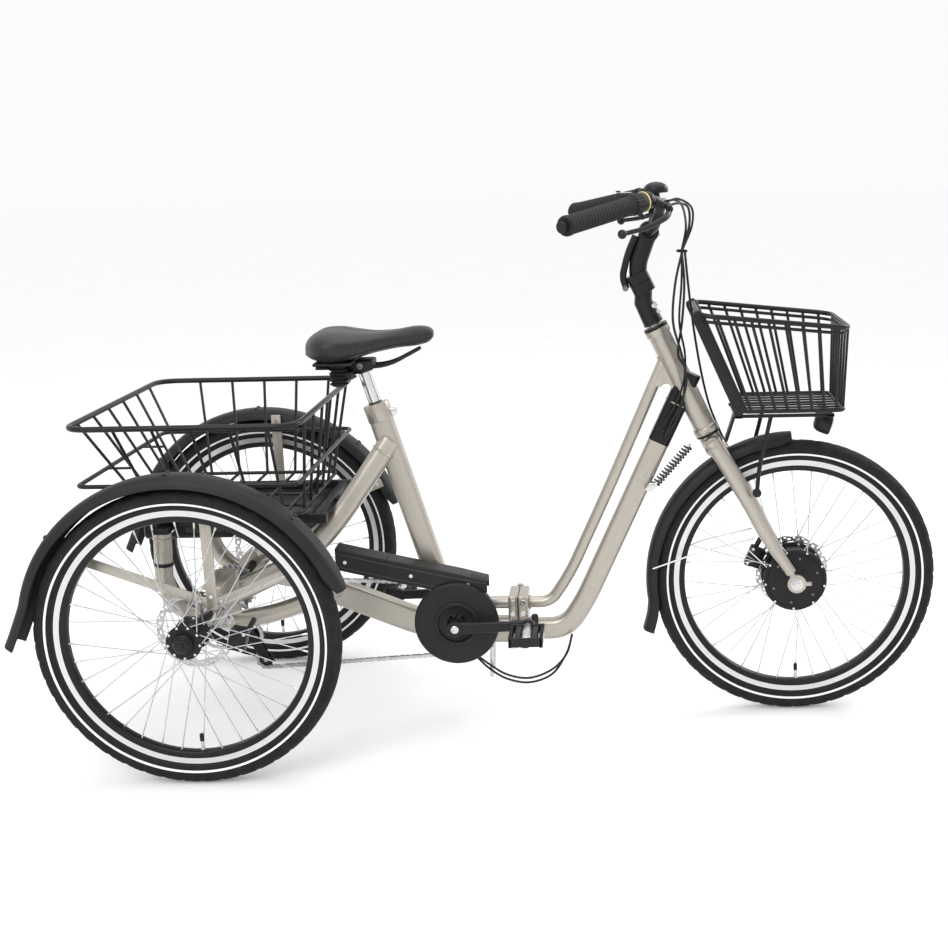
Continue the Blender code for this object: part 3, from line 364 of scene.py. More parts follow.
# ================================================================ cables
def cable(name, pts, dia, blend, replaces=(), per=6):
    path = flow(pts, per)
    ob = piece(name, None, [(CABL, [tube(path, dia / 2, 12)])], replaces, blend=blend)
    world = [(p.x + DX, p.y, p.z) for p in path]
    L = sum((V(world[i + 1]) - V(world[i])).length for i in range(len(world) - 1))
    return ob

TIE = V((0.9765, -0.0380, 1.0000))
for i, (dia, y0, z0, dx) in enumerate(((0.0050, -0.122, 1.0930, 0.000), (0.0045, -0.112, 1.1010, 0.007),
    (0.0050, 0.108, 1.0930, -0.007))):
    o = (i - 1) * 0.0062
    at = TIE + V((0, o, 0))
    cable(f"bar_cable_{i}", [(0.947, y0, z0), (0.968, y0 * 0.80, z0 + 0.003), (0.988 + dx, y0 * 0.45 - 0.010, 1.086),
        (0.991 + dx * 0.8, -0.034 + o, 1.048), at], dia,
          ("bars", "steered", (0.99, 0, 1.075), (0.98, 0, 1.012)), ["cables_front"] if i == 0 else ())
    w = (-0.009, 0.004, 0.010)[i]
    down = [at - V((0, 0, 0.0012)), (0.971 + w, -0.045 + o, 0.935), (0.966 + w, -0.052 + o, 0.860), (0.974 + dx, -0.055 + o, 0.795)]
    if i == 0:
        down += [(0.984, -0.057, 0.740), (0.972, -0.050, 0.690), (0.952, -0.035, 0.648), (0.9400, -0.0262, 0.6200)]
    elif i == 1:
        down += [(0.979, -0.049, 0.740), (0.963, -0.044, 0.690), (0.944, -0.030, 0.655), (0.9300, -0.0252, 0.6320)]
    else:
        down += [(0.982, -0.042, 0.760), (0.978, -0.040, 0.700), (0.962, -0.033, 0.655), (0.9500, -0.0270, 0.6340)]
    cable(f"frame_cable_{i}", down, dia, ("steered", "front_half", (0.968, 0, 0.880), (0.978, 0, 0.720)))
for i, (dy, lo) in enumerate(((0.0, 0.0), (0.0072, 0.013))):
    cable(f"fold_cable_{i}", [(0.735, -0.0290 + dy, 0.1830), (0.722, -0.0305 + dy, 0.140), (0.690, -0.0340 + dy, 0.106 - lo),
        (0.640, -0.0400 + dy, 0.089 - lo), (0.590, -0.0395 + dy, 0.098 - lo), (0.550, -0.0385 + dy, 0.124 - lo),
            (0.520, -0.0330 + dy, 0.146 - lo * 0.4), (0.500, -0.0280 + dy, 0.1580)], 0.0050,
          ("front_half", "rear_half", (0.68, 0, 0.1), (0.56, 0, 0.1)), ["cables_fold"] if i == 0 else ())
brake_line = flow([(0.9830, -0.0260, 0.9980), (0.990, -0.018, 0.930), (1.002, 0.006, 0.840), (1.018, 0.036, 0.750),
    (1.036, 0.058, 0.675), (1.055, 0.074, 0.625), (1.078, 0.078, 0.575), (1.118, 0.079, 0.505), (1.138, 0.0775, 0.460),
        (1.150, 0.066, 0.415), (1.155, 0.060, 0.395)], 6)
fork_hose = piece("fork_cable", "steered", [(CABL, [tube(brake_line, 0.0025, 12)])])
hose_line = [(p.x + DX, p.y, p.z) for p in brake_line]
sum((V(hose_line[i + 1]) - V(hose_line[i])).length for i in range(len(hose_line) - 1))

# ================================================================ wheels
def tyre(tag, body, x, y, node):
    c = V((x, y, R))
    half = [(0.2630, 0.0150), (0.2665, 0.0186), (0.2700, 0.0208), (0.2760, 0.0228), (0.2820, 0.0226), (0.2880, 0.0213),
        (0.2925, 0.0192), (0.2958, 0.0164), (0.2966, 0.0150), (0.2980, 0.0126), (0.2992, 0.0098), (0.2996, 0.0086),
            (0.3001, 0.0060), (0.3004, 0.0030)]
    prof = [(q, -h) for q, h in half] + [(0.3005, 0.0)] + [(q, h) for q, h in reversed(half)]
    n, k, vs, fs = 288, len(prof), [], []
    for i in range(n):
        a = TAU * (i + 0.5) / n
        for q, h in prof:
            b = abs(h)
            if q > 0.2990:
                q -= 0.0015 if ((i + int(h > 0)) % 6 == 0) else 0.0
            elif q > 0.2935:
                q -= 0.0021 if (i + 3 * int(h > 0)) % 6 in (0, 1, 2) else 0.0
            vs.append(c + V((q * math.cos(a), h, q * math.sin(a))))
    for i in range(n):
        for j in range(k - 1):
            fs.append((i * k + j, i * k + j + 1, ((i + 1) % n) * k + j + 1, ((i + 1) % n) * k + j))
    rings = [lathe([(0.2706, s * 0.0203), (0.2711, s * 0.0217), (0.2730, s * 0.0225), (0.2749, s * 0.0231), (0.2754, s * 0.0218)],
        c, (0, 1, 0), 160) for s in (-1, 1)]
    rings = [(v, [q for q in w if len(q) < 10]) for v, w in rings]
    ribs = [lathe([(q - 0.0006, s * (h - 0.0004)), (q, s * (h + 0.0005)), (q + 0.0006, s * (h - 0.0004))], c, (0, 1, 0), 160,
        ring=True) for s in (-1, 1) for q, h in ((0.2672, 0.0190), (0.2845, 0.0222), (0.2893, 0.0208))]
    piece("tyre_skin_" + tag, body, [(RUBB, [fixed(vs, fs)] + ribs), (REFL, rings)], node, smooth=28)

def band(c, s):
    """One machined side of a rim, with fine turned lines."""
    prof, h = [(0.2478, s * 0.0112), (0.2480, s * 0.0133)], 0.0133
    for q in (0.2505, 0.2532, 0.2560):
        prof += [(q - 0.0003, s * h), (q, s * (h - 0.0005)), (q + 0.0003, s * h)]
    prof += [(0.2590, s * h), (0.2594, s * 0.0120)]
    v, w = lathe(prof, c, (0, 1, 0), 160)
    return v, [q for q in w if len(q) < 10]

def wheel(tag, body, x, y, rf, yf, hub, cross, node, out):
    c = V((x, y, R))
    rim = [(0.2350, -0.0060), (0.2362, -0.0095), (0.2400, -0.0120), (0.2480, -0.0128), (0.2600, -0.0128), (0.2636, -0.0150),
        (0.2640, -0.0132), (0.2640, 0.0132), (0.2636, 0.0150), (0.2600, 0.0128), (0.2480, 0.0128), (0.2400, 0.0120),
            (0.2362, 0.0095), (0.2350, 0.0060)]
    silver, bands, steel, black = [], [], [], [lathe(rim, c, (0, 1, 0), 160, ring=True), lathe(hub, c, (0, 1, 0), 72)]
    for s in (-1, 1):
        bands.append(band(c, s))
        for i in range(18):
            b = TAU * (2 * i + (s > 0)) / 36 + 0.03
            a = b + math.radians(cross) * (1 if i % 2 else -1)
            w = 0.0011 * (1 if i % 2 else -1)
            p = c + V((rf * math.cos(a), s * yf + w, rf * math.sin(a)))
            q = c + V((0.2365 * math.cos(b), s * 0.0035, 0.2365 * math.sin(b)))
            steel.append(tube([p, p.lerp(q, 0.5), q], 0.00115, 6))
            silver.append(cyl(q, q + (p - q).normalized() * 0.013, 0.0022, 8, r2=0.0019))
            silver.append(lathe([(0.0016, -0.0030), (0.0027, -0.0022), (0.0027, 0.0022), (0.0016, 0.0030)], p, (0, 1, 0), 10))
    a = math.radians(-88)
    e = V((math.cos(a), 0, math.sin(a)))
    silver.append(cyl(c + e * 0.2360, c + e * 0.2120, 0.0030, 12))
    silver.append(cyl(c + e * 0.2345, c + e * 0.2325, 0.0048, 12))
    black.append(lathe([(0.0042, 0), (0.0042, 0.013), (0.0022, 0.016)], c + e * 0.2160, -e, 14))
    piece("wheel_body_" + tag, body, [(RIMB, black), (RIMS, bands), (SILV, silver), (STEEL, steel)] + out(c), node, smooth=35)

HUB = [(0.0120, -0.0425), (0.0170, -0.0420), (0.0195, -0.0400), (0.0200, -0.0385), (0.0200, -0.0316), (0.0215, -0.0310),
    (0.0340, -0.0303), (0.0350, -0.0294), (0.0350, -0.0272), (0.0340, -0.0264), (0.0220, -0.0250), (0.0165, -0.0210),
        (0.0150, -0.0120)]
HUB = HUB + [(q, -h) for q, h in reversed(HUB)]
MOT = [(0.0120, -0.0385), (0.0180, -0.0380), (0.0200, -0.0366), (0.0400, -0.0362), (0.0440, -0.0352), (0.0540, -0.0348),
    (0.0585, -0.0338), (0.0600, -0.0318), (0.0668, -0.0322), (0.0675, -0.0314), (0.0675, -0.0286), (0.0668, -0.0278),
        (0.0618, -0.0268), (0.0612, -0.0200)]
MOT = MOT + [(q, -h) for q, h in reversed(MOT)]

def out_rear(s):
    def add(c):
        hx = [lathe([(0.0128, 0.0400), (0.0165, 0.0405), (0.0165, 0.0450), (0.0140, 0.0480), (0.0060, 0.0490)], c, (0, s, 0), 40)]
        rg = [lathe([(0.0225, 0.0300), (0.0225, 0.0320), (0.0240, 0.0322), (0.0240, 0.0300)], c, (0, s, 0), 48, ring=True)]
        return [(BLACK, hx + rg)]
    return add

def out_front(c):
    scr = []
    for s in (-1, 1):
        for i in range(6):
            a = TAU * i / 6 + 0.35
            scr.append(bolt(c + V((0.0490 * math.cos(a), s * 0.0347, 0.0490 * math.sin(a))), (0, s, 0), 0.0028, 0.0018))
    return [(DSTEEL, scr)]

def rotor(tag, body, x, y, s, node):
    c, vs, fs, n = V((x, y, R)), [], [], 192
    for i in range(n):
        a = TAU * i / n
        wave = 0.0014 * math.cos(12 * a)
        for q in (0.0655 + wave, 0.0692 + 0.4 * wave, 0.0738 - 0.4 * wave, 0.0775, 0.0800 - 0.0013 * (1 + math.cos(12 * a))):
            vs.append((q * math.cos(a), q * math.sin(a)))
    keep = []
    for i in range(n):
        for j in range(4):
            hole = (j == 1 and i % 8 in (1, 2, 3)) or (j == 2 and i % 8 in (5, 6))
            if not hole:
                keep.append((i * 5 + j, i * 5 + j + 1, ((i + 1) % n) * 5 + j + 1, ((i + 1) % n) * 5 + j))
    bm = bmesh.new()
    vv = [bm.verts.new((c.x + p, c.y, c.z + q)) for p, q in vs]
    for q in keep:
        bm.faces.new([vv[i] for i in q])
    bmesh.ops.delete(bm, geom=[v for v in bm.verts if not v.link_faces], context="VERTS")
    bmesh.ops.solidify(bm, geom=bm.faces[:], thickness=0.0019)
    shell = take(bm)
    arms = []
    for i in range(6):
        a, b = TAU * i / 6, TAU * i / 6 + 0.42
        p0 = c + V((0.020 * math.cos(a), 0, 0.020 * math.sin(a)))
        p1 = c + V((0.045 * math.cos(a + 0.16), 0, 0.045 * math.sin(a + 0.16)))
        p2 = c + V((0.0672 * math.cos(b), 0, 0.0672 * math.sin(b)))
        arms.append(sweep(flow([p0, p1, p2], 5), rbox(0.0070, 0.0018, 0.2, 3), up=(0, 1, 0)))
    hubr = lathe([(0.0125, -0.0010), (0.0240, -0.0010), (0.0240, 0.0010), (0.0125, 0.0010)], c, (0, 1, 0), 48, ring=True)
    bolts = [bolt(c + V((0.0195 * math.cos(TAU * i / 6 + 0.5), s * 0.0010, 0.0195 * math.sin(TAU * i / 6 + 0.5))), (0, s, 0),
        0.0032, 0.0022) for i in range(6)]
    piece("rotor_disc_" + tag, body, [(DISC, [shell, hubr] + arms), (DSTEEL, bolts)], node, smooth=30)

def caliper(tag, body, x, y, ang, arm, node, near=0.016):
    e, t = V((math.cos(ang), 0, math.sin(ang))), V((-math.sin(ang), 0, math.cos(ang)))
    c = V((x, y, R))
    def at(r_, h, w):
        return c + e * r_ + V((0, h, 0)) + t * w
    def blk(r0, r1, h0, h1, w0, w1, q=0.002):
        bm = bmesh.new()
        bmesh.ops.create_cube(bm, size=1)
        for v in bm.verts:
            v.co = at(r0 if v.co.x < 0 else r1, h0 if v.co.y < 0 else h1, w0 if v.co.z < 0 else w1)
        bmesh.ops.recalc_face_normals(bm, faces=bm.faces[:])
        return bev(bm, q, 3)
    sh = [blk(0.0690, 0.1030, 0.0035, 0.0160, -0.022, 0.022, 0.003), blk(0.0690, 0.1030, -near, -0.0035, -0.022, 0.022, 0.003),
        blk(0.0855, 0.1030, -near * 0.8, 0.0130, -0.024, 0.024, 0.003),
          tube([at(0.095, 0, 0), V(arm)], 0.0058, 16), cyl(at(0.084, 0.0150, 0.0), at(0.084, 0.0175, 0), 0.0085, 24),
              blk(0.074, 0.094, -near - 0.0006, -near + 0.002, -0.010, 0.010, 0.001)]
    sv = [bolt(at(0.0975, 0.0155, w), (0, 1, 0), 0.0036, 0.003) for w in (-0.0165, 0.0165)] + [bolt(at(0.0975, -near + 0.0005, w),
        (0, -1, 0), 0.0036, 0.003) for w in (-0.0165, 0.0165)]
    piece("caliper_body_" + tag, body, [(BLACK, sh), (SILV, sv)], node)

for side, s in SIDES:
    y, b = s * TR, "wheel_" + side
    tyre("rear_" + side, b, 0, y, f"tyre_rear_{side}")
    wheel("rear_" + side, b, 0, y, 0.0312, 0.0283, HUB, 52, f"wheel_rear_{side}", out_rear(s))
    rotor("rear_" + side, b, 0, y - s * 0.0520, -s, f"rotor_rear_{side}")
    piece(f"axle_{side}", b, [(BLACK,
        [lathe([(0.0098, 0.0150), (0.0100, 0.0160), (0.0100, 0.3000), (0.0120, 0.3010), (0.0120, 0.3060), (0.0100, 0.3070),
            (0.0100, 0.3930), (0.0080, 0.3930)], (0, 0, R), (0, s, 0), 40)]),
                              (BLACK, [hexa((0, s * 0.3930, R), (0, s * 0.3995, R), 0.0142),
                                  lathe([(0.0062, 0.3990), (0.0062, 0.4020), (0.0045, 0.4030)], (0, 0, R), (0, s, 0), 24)])],
                                      f"rear_axle_{side}")
    caliper("rear_" + side, "rear_half", 0, y - s * 0.0520, math.radians(-14), (0.090, s * 0.200, 0.285), f"caliper_rear_{side}")
tyre("front", "wheel_front_body", WB, 0, "tyre_front")
wheel("front", "wheel_front_body", WB, 0, 0.0638, 0.0300, MOT, 14, "wheel_front", out_front)
rotor("front", "wheel_front_body", WB, 0.0410, 1, "rotor_front")
caliper("front", "steered", WB, 0.0410, math.radians(158), (1.150, 0.054, 0.372), "caliper_front", 0.0075)

# ================================================================ fenders
def fender(x, y, r_, a0, a1, half, flap, steps):
    pts = [(x + r_ * math.cos(math.radians(a0 + (a1 - a0) * i / steps)), y,
        R + r_ * math.sin(math.radians(a0 + (a1 - a0) * i / steps))) for i in range(steps + 1)]
    pts += flap
    arch = []
    for i in range(17):
        t = i / 8 - 1
        arch.append((half * math.sin(t * math.pi / 2 * 0.92) / math.sin(math.pi / 2 * 0.92),
            -0.0212 * abs(t) ** 3.0 - 0.0016 * abs(t)))
    under = [(p * 0.955, q - 0.0022 + 0.0008 * abs(p) / half) for p, q in reversed(arch)]
    tip = [0.60, 0.80, 0.92] + [1.0] * (len(pts) - 3)
    body = sweep(pts, [(q, p) for p, q in arch + under], up=(0, 1, 0), scale=tip)
    return body, pts

def fender_piece(tag, body, x, y, r_, a0, a1, half, flap, steps, node, extra):
    shell, pts = fender(x, y, r_, a0, a1, half, flap, steps)
    lips = []
    for s in (-1, 1):
        line = []
        for i, p in enumerate(pts):
            a = V(pts[max(0, i - 1)])
            b = V(pts[min(len(pts) - 1, i + 1)])
            e, w = basis(b - a, (0, 1, 0))
            t_ = (0.60, 0.80, 0.92, 1.0)[min(i, 3)]
            line.append(V(p) + e * (-0.0222 * t_) + V((0, s * (half - 0.0006) * t_, 0)))
        lips.append(tube(line, 0.0014, 8))
    piece("fender_skin_" + tag, body, [(PLAST, [shell] + lips)] + extra, node, smooth=45)

for side, s in SIDES:
    y = s * TR
    heads = []
    for a in (47, 92, 140):
        t = math.radians(a)
        n_ = V((math.cos(t), 0, math.sin(t)))
        for dy in (-0.012, 0.012):
            heads.append(lathe([(0.0046, -0.0012), (0.0044, 0.0008), (0.0028, 0.0020)], V((0, y + dy, R)) + n_ * 0.3288, n_, 18))
    fender_piece(f"rear_{side}", "rear_half", 0, y, 0.3290, 17, 166, 0.0340,
        [(-0.3265, y, 0.362), (-0.334, y, 0.345), (-0.345, y, 0.320), (-0.356, y, 0.297)], 64, f"fender_rear_{side}",
            [(BLACK, heads)])
stays = [tube(bend([(0.912, q * 0.0285, 0.330), (1.02, q * 0.041, 0.372), (1.130, q * 0.041, 0.398)], 0.02), 0.0020, 10)
    for q in (-1, 1)]
fender_piece("front", "steered", WB, 0, 0.3190, 92, 189, 0.0300, [(0.8990, 0, 0.225), (0.8945, 0, 0.206), (0.8900, 0, 0.189)], 48,
    "fender_front", [(SILV, stays), (BLACK, [bolt((0.912, q * 0.0275, 0.330), (0, q, 0), 0.0045, 0.0025) for q in (-1, 1)])])

# ================================================================ rear frame
CUTR = ST + SU * 0.012
rear = [sweep([CUTR, ST - SU * 0.470], rbox(0.048, 0.042, 0.30, 8), up=(0, 1, 0)),
        sweep(bend([(0.205, 0, 0.291), (0.392, 0, 0.213), (0.470, 0, 0.190), (0.6025, 0, 0.190)], 0.05),
            rbox(0.056, 0.040, 0.28, 8), up=(0, 1, 0)),
        cyl((BB.x, -0.034, BB.z), (BB.x, 0.034, BB.z), 0.0245, 48),
        cyl((0.475, 0, 0.2505), (0.6025, 0, 0.2505), 0.0135, 32),
        lathe([(0.0150, -0.004), (0.0262, -0.004), (0.0272, -0.002), (0.0275, 0.030), (0.0268, 0.033), (0.0150, 0.034)],
            ST - SU * 0.018, SU, 56),
        box(0.5995, 0.6200, -0.0450, 0.0405, 0.1580, 0.2760, 0.004, 3),
        box(0.6030, 0.6165, -0.0520, -0.0300, 0.2300, 0.2790, 0.003, 3),
        lathe([(0.0070, 0.1600), (0.0070, 0.1660), (0.0040, 0.1670), (0.0040, 0.2690), (0.0070, 0.2695), (0.0070, 0.2750)],
            (PINX, PINY, 0), (0, 0, 1), 24)]
for z0, z1 in ((0.1650, 0.1950), (0.2400, 0.2700)):
    rear += [cyl((PINX, PINY, z0), (PINX, PINY, z1), 0.0112, 32), box(0.6000, 0.6110, 0.0340, 0.0520, z0 + 0.001, z1 - 0.001)]
rear += [weld(ST - SU * 0.455, SU, 0.0245, 0.0215, 0.0026), weld((BB.x, 0, BB.z + 0.0), (0, 1, 0), 0.0250, None, 0.0010)]
metal = [box(ST.x + 0.014, ST.x + 0.040, -0.0060, 0.0060, 0.6690, 0.6850, 0.002)]
for side, s in SIDES:
    rear += [sweep(bend([(0.362, s * 0.010, 0.618), (0.240, s * 0.050, 0.447), (0.165, s * 0.105, 0.378),
        (0.006, s * 0.172, 0.316)], 0.06), rbox(0.045, 0.034, 0.48, 8), up=(0, 1, 0)),
             tube(bend([(-0.090, s * 0.172, 0.466), (-0.097, s * 0.172, 0.350), (-0.055, s * 0.172, 0.290),
                 (0.030, s * 0.165, 0.272), (0.120, s * 0.115, 0.272), (0.225, s * 0.010, 0.290)], 0.07), 0.0185, 28),
             cyl((0, s * 0.150, R), (0, s * 0.205, R), 0.0300, 48),
             box(0.022, 0.060, s * 0.1900, s * 0.3110, 0.3860, 0.3915), box(0.018, 0.064, s * 0.1880, s * 0.1980, 0.2950, 0.3920),
             weld((0.345, s * 0.018, 0.594), (-0.55, s * 0.15, -0.8), 0.0228, 0.0175, 0.0020, (0, 1, 0)),
             weld((-0.0905, s * 0.172, 0.455), (0, 0, 1), 0.0190, None, 0.0015)]
    metal += [bolt((0.0, s * (0.2055 if s > 0 else 0.2055), R), (0, s, 0), 0.0150, 0.003)]
    for n, (p, q, w) in enumerate((((0.041, 0.345), (0.041, 0.618), 0.0110), ((0.050, 0.352), (-0.262, 0.470), 0.0100),
        ((0.036, 0.352), (0.281, 0.452), 0.0100))):
        ys = sorted((s * (0.3068 + 0.0002 * n), s * (0.3114 - 0.0002 * n)))
        e = V((q[0] - p[0], q[1] - p[1])).normalized()
        m = (-e.y * w, e.x * w)
        rear.append(prism([(p[0] + m[0], p[1] + m[1]), (p[0] - m[0], p[1] - m[1]), (q[0] - m[0], q[1] - m[1]),
            (q[0] + m[0], q[1] + m[1])], *ys))
        metal += [bolt((p[0] + (q[0] - p[0]) * t, s * 0.3112, p[1] + (q[1] - p[1]) * t), (0, s, 0), 0.0045, 0.003)
            for t in (0.10, 0.95)]
        metal += [bolt((p[0] + (q[0] - p[0]) * t, s * 0.3070, p[1] + (q[1] - p[1]) * t), (0, -s, 0), 0.0045, 0.003)
            for t in (0.10, 0.95)]
rings = [lathe([(0.0186, -0.004), (0.0196, -0.003), (0.0196, 0.003), (0.0186, 0.004)], (-0.0935, s * 0.172, 0.400), (0.06, 0, 1),
    40) for s in (-1, 1)]
piece("rear_tubes", "rear_half", [(CHAMP, rear), (SILV, metal), (BLACK, rings)], "rear_frame")
piece("wire_stand", "rear_half",
    [(SILV, [tube(bend([(0.560, -0.026, 0.1580), (0.556, -0.026, 0.085), (0.556, 0.026, 0.085), (0.560, 0.026, 0.1580)], 0.022, 10),
        0.0045, 20)])], "stand_loop")

# ================================================================ seat
PT = ST + SU * 0.085
post = [cyl(ST - SU * 0.20, PT, 0.0135, 56)]
piece("post_tube", "seat", [(POLI, post), (BLACK, [tube([ST + SU * 0.0165, ST + SU * 0.0200], 0.0142, 40)])], "seat_post")
SEC = ((0.199, 0.030, 0.822, 0.806), (0.207, 0.062, 0.839, 0.797), (0.230, 0.096, 0.853, 0.790), (0.262, 0.108, 0.855, 0.788),
    (0.300, 0.092, 0.850, 0.794),
       (0.340, 0.062, 0.847, 0.804), (0.385, 0.036, 0.850, 0.812), (0.425, 0.027, 0.856, 0.816), (0.450, 0.022, 0.854, 0.822),
           (0.461, 0.012, 0.847, 0.832))
def sec_at(t):
    i = min(len(SEC) - 2, int(t))
    q = t - i
    P = [SEC[max(0, min(len(SEC) - 1, i + j))] for j in (-1, 0, 1, 2)]
    return [0.5 * (2 * P[1][k] + (P[2][k] - P[0][k]) * q + (2 * P[0][k] - 5 * P[1][k] + 4 * P[2][k] - P[3][k]) * q * q
        + (3 * P[1][k] - P[0][k] - 3 * P[2][k] + P[3][k]) * q ** 3) for k in range(4)]
vs, fs, N, M = [], [], 64, 72
for i in range(M + 1):
    x, w, zt, zb = sec_at((len(SEC) - 1) * i / M)
    for j in range(N):
        a = TAU * j / N
        ca, sa = math.cos(a), math.sin(a)
        yy = w * math.copysign(abs(ca) ** 0.80, ca)
        zz = (zt + zb) / 2 + (zt - zb) / 2 * math.copysign(abs(sa) ** 0.75, sa)
        if sa > 0:      # a shallow channel along the middle and a crowned top
            zz -= 0.0030 * math.exp(-(yy / 0.012) ** 2) * max(0.0, min(1.0, (0.40 - x) / 0.10)) * (sa ** 2)
        if -0.62 < sa < -0.40:
            yy *= 0.985
        vs.append(V((x, yy, zz)))
for i in range(M):
    for j in range(N):
        fs.append((i * N + j, i * N + (j + 1) % N, (i + 1) * N + (j + 1) % N, (i + 1) * N + j))
fs += [tuple(range(N - 1, -1, -1)), tuple(range(M * N, (M + 1) * N))]
pad = piece("saddle_pad", "seat", [(SKIN, [fixed(vs, fs)])], "saddle", smooth=70)
seam = []
for s in (-1, 1):
    line = []
    for i in range(2, M - 1):
        x, w, zt, zb = sec_at((len(SEC) - 1) * i / M)
        a = math.radians(-26)
        line.append(V((x, s * (w * math.cos(a) ** 0.80 + 0.0002), (zt + zb) / 2 - (zt - zb) / 2 * abs(math.sin(a)) ** 0.75)))
    seam.append(tube(line, 0.0011, 8))
piece("saddle_seam", "seat", [(PLAST, seam)])
under = [lathe([(0.0170, 0.0862), (0.0200, 0.0875), (0.0200, 0.1060), (0.0185, 0.1085), (0.0150, 0.1100)], ST, SU, 40),
    box(0.285, 0.335, -0.030, 0.030, 0.7680, 0.7900, 0.004, 3), box(0.250, 0.2960, -0.056, 0.056, 0.7560, 0.7700, 0.003, 3),
         box(0.222, 0.300, -0.085, 0.085, 0.7860, 0.7925, 0.003, 3)]
steelr = [bolt((0.310, s * 0.029, 0.7790), (0, s, 0), 0.0075, 0.005) for s in (-1, 1)]
for s in (-1, 1):
    under.append(tube(bend([(0.225, s * 0.062, 0.7800), (0.270, s * 0.024, 0.7740), (0.365, s * 0.022, 0.7760),
        (0.432, s * 0.008, 0.8100)], 0.03), 0.0036, 14))
    prof = [(0.0125, 0.740)]
    for k in range(6):
        z = 0.742 + k * 0.0075
        prof += [(0.0150, z), (0.0192, z + 0.0022), (0.0196, z + 0.0037), (0.0150, z + 0.0066)]
    under.append(lathe(prof + [(0.0150, 0.788)], (0.268, s * 0.048, 0), (0, 0, 1), 40))
piece("saddle_under", "seat", [(PLAST, under), (DSTEEL, steelr)], "saddle_frame")

# ================================================================ rack, battery, basket
rack = [box(-0.170, 0.245, s * 0.150 - 0.008, s * 0.150 + 0.008, 0.4760, 0.4960, 0.002) for s in (-1, 1)]
rack += [box(x - 0.010, x + 0.010, -0.150, 0.150, 0.4770, 0.4950, 0.002) for x in (-0.155, 0.020, 0.225)]
rack += [box(-0.105, -0.071, s * 0.172 - 0.024, s * 0.172 + 0.024, 0.4670, 0.4765, 0.002) for s in (-1, 1)]
rack += [tube(bend([(0.230, 0, 0.486), (0.290, 0, 0.500), (0.3360, 0, 0.5600)], 0.03), 0.0075, 24)]
rack += [box(-0.165, 0.240, -0.120, 0.120, 0.4815, 0.4840, 0.001)]
dock = prism([(0.0600, 0.4780), (0.2300, 0.4780), (0.2300, 0.4690), (0.1900, 0.4400), (0.1150, 0.4130), (0.0600, 0.4130)], -0.068,
    0.068, 0.005, 3)
trim = [box(0.0640, 0.0700, -0.0700, 0.0700, 0.4160, 0.4740, 0.001), box(0.120, 0.180, -0.0690, 0.0690, 0.4550, 0.4570, 0.0006)]
piece("rack_bars", "rear_half", [(BLACK, rack), (DARK, [dock]), (PLAST, trim)], "rear_rack")
bat = sweep([(-0.160, 0, 0.4490), (-0.156, 0, 0.4490), (0.0550, 0, 0.4490), (0.0590, 0, 0.4490)], rbox(0.044, 0.170, 0.30, 8),
    up=(0, 1, 0), scale=[0.94, 1.0, 1.0, 0.94])
seams = [sweep([(x, 0, 0.4490), (x + 0.0016, 0, 0.4490)], rbox(0.0448, 0.1708, 0.30, 8), up=(0, 1, 0)) for x in (-0.130, 0.030)]
piece("battery_case", "battery_pack", [(PLAST, [bat] + seams),
    (SILV, [cyl((-0.100, -0.0848, 0.4500), (-0.100, -0.0866, 0.4500), 0.0070, 28)]),
        (DARK, [box(-0.070, 0.010, -0.0866, -0.0845, 0.4420, 0.4560, 0.001)])], "battery")
piece("tail_lamp", "battery_pack",
    [(RED, [lathe([(0.0040, -0.1830), (0.0120, -0.1818), (0.0165, -0.1790), (0.0182, -0.1740), (0.0182, -0.1700)], (0, 0, 0.446),
        (1, 0, 0), 40)]), (PLAST, [lathe([(0.0190, -0.1704), (0.0190, -0.1604)], (0, 0, 0.446), (1, 0, 0), 40)])], "tail_light")

TX0, TX1, TY, TZ = -0.221, 0.229, 0.296, 0.705
BX0, BX1, BY, BZ = -0.118, 0.200, 0.192, 0.5065
kk = (TZ - 0.588) / (TZ - BZ)
bask = [tube(loop([(TX0, -TY, TZ), (TX1, -TY, TZ), (TX1, TY, TZ), (TX0, TY, TZ)], 0.05, 10), 0.0058, 16, closed=True),
        tube(loop([(BX0, -BY, BZ), (BX1, -BY, BZ), (BX1, BY, BZ), (BX0, BY, BZ)], 0.02, 6), 0.0040, 12, closed=True),
        tube(loop([(-0.214, -0.275, 0.588), (0.221, -0.285, 0.588), (0.221, 0.285, 0.588), (-0.214, 0.275, 0.588)], 0.02, 6),
            0.0045, 12, closed=True)]
NS, NE, WR = 5, 6, 0.0033
for s in (-1, 1):
    for i in range(NS):
        q = (i + 0.5) / NS
        a, b = V((TX0 + 0.058 + (TX1 - TX0 - 0.075) * q, s * TY, TZ)), V((BX0 + (BX1 - BX0) * q, s * BY, BZ))
        bask.append(wire(a, b, WR))
        if i in (1, 3):
            m = a.lerp(b, kk)
            bask.append(wire(m - V((0, s * 0.002, 0)), V((m.x, s * 0.281, m.z))))
for xt, xb in ((TX0, BX0), (TX1, BX1)):
    for i in range(NE):
        q = (i + 0.5) / NE * 2 - 1
        a, b = V((xt, (TY - 0.03) * q, TZ)), V((xb, (BY - 0.01) * q, BZ))
        bask.append(wire(a, b, WR))
        if i in (1, 4):
            m = a.lerp(b, kk)
            bask.append(wire(V((m.x + (0.002 if xt < 0 else -0.002), m.y, m.z)), V((-0.214 if xt < 0 else 0.221, m.y, m.z))))
for i in range(5):
    bask.append(wire((-0.086 + 0.0635 * i, -BY, BZ), (-0.086 + 0.0635 * i, BY, BZ), WR))
for y in (-0.098, 0.0, 0.098):
    bask.append(wire((BX0, y, BZ - 0.0044), (BX1, y, BZ - 0.0044), WR))
piece("basket_wires_rear", "rear_half", [(BLACK, bask)], "rear_basket")

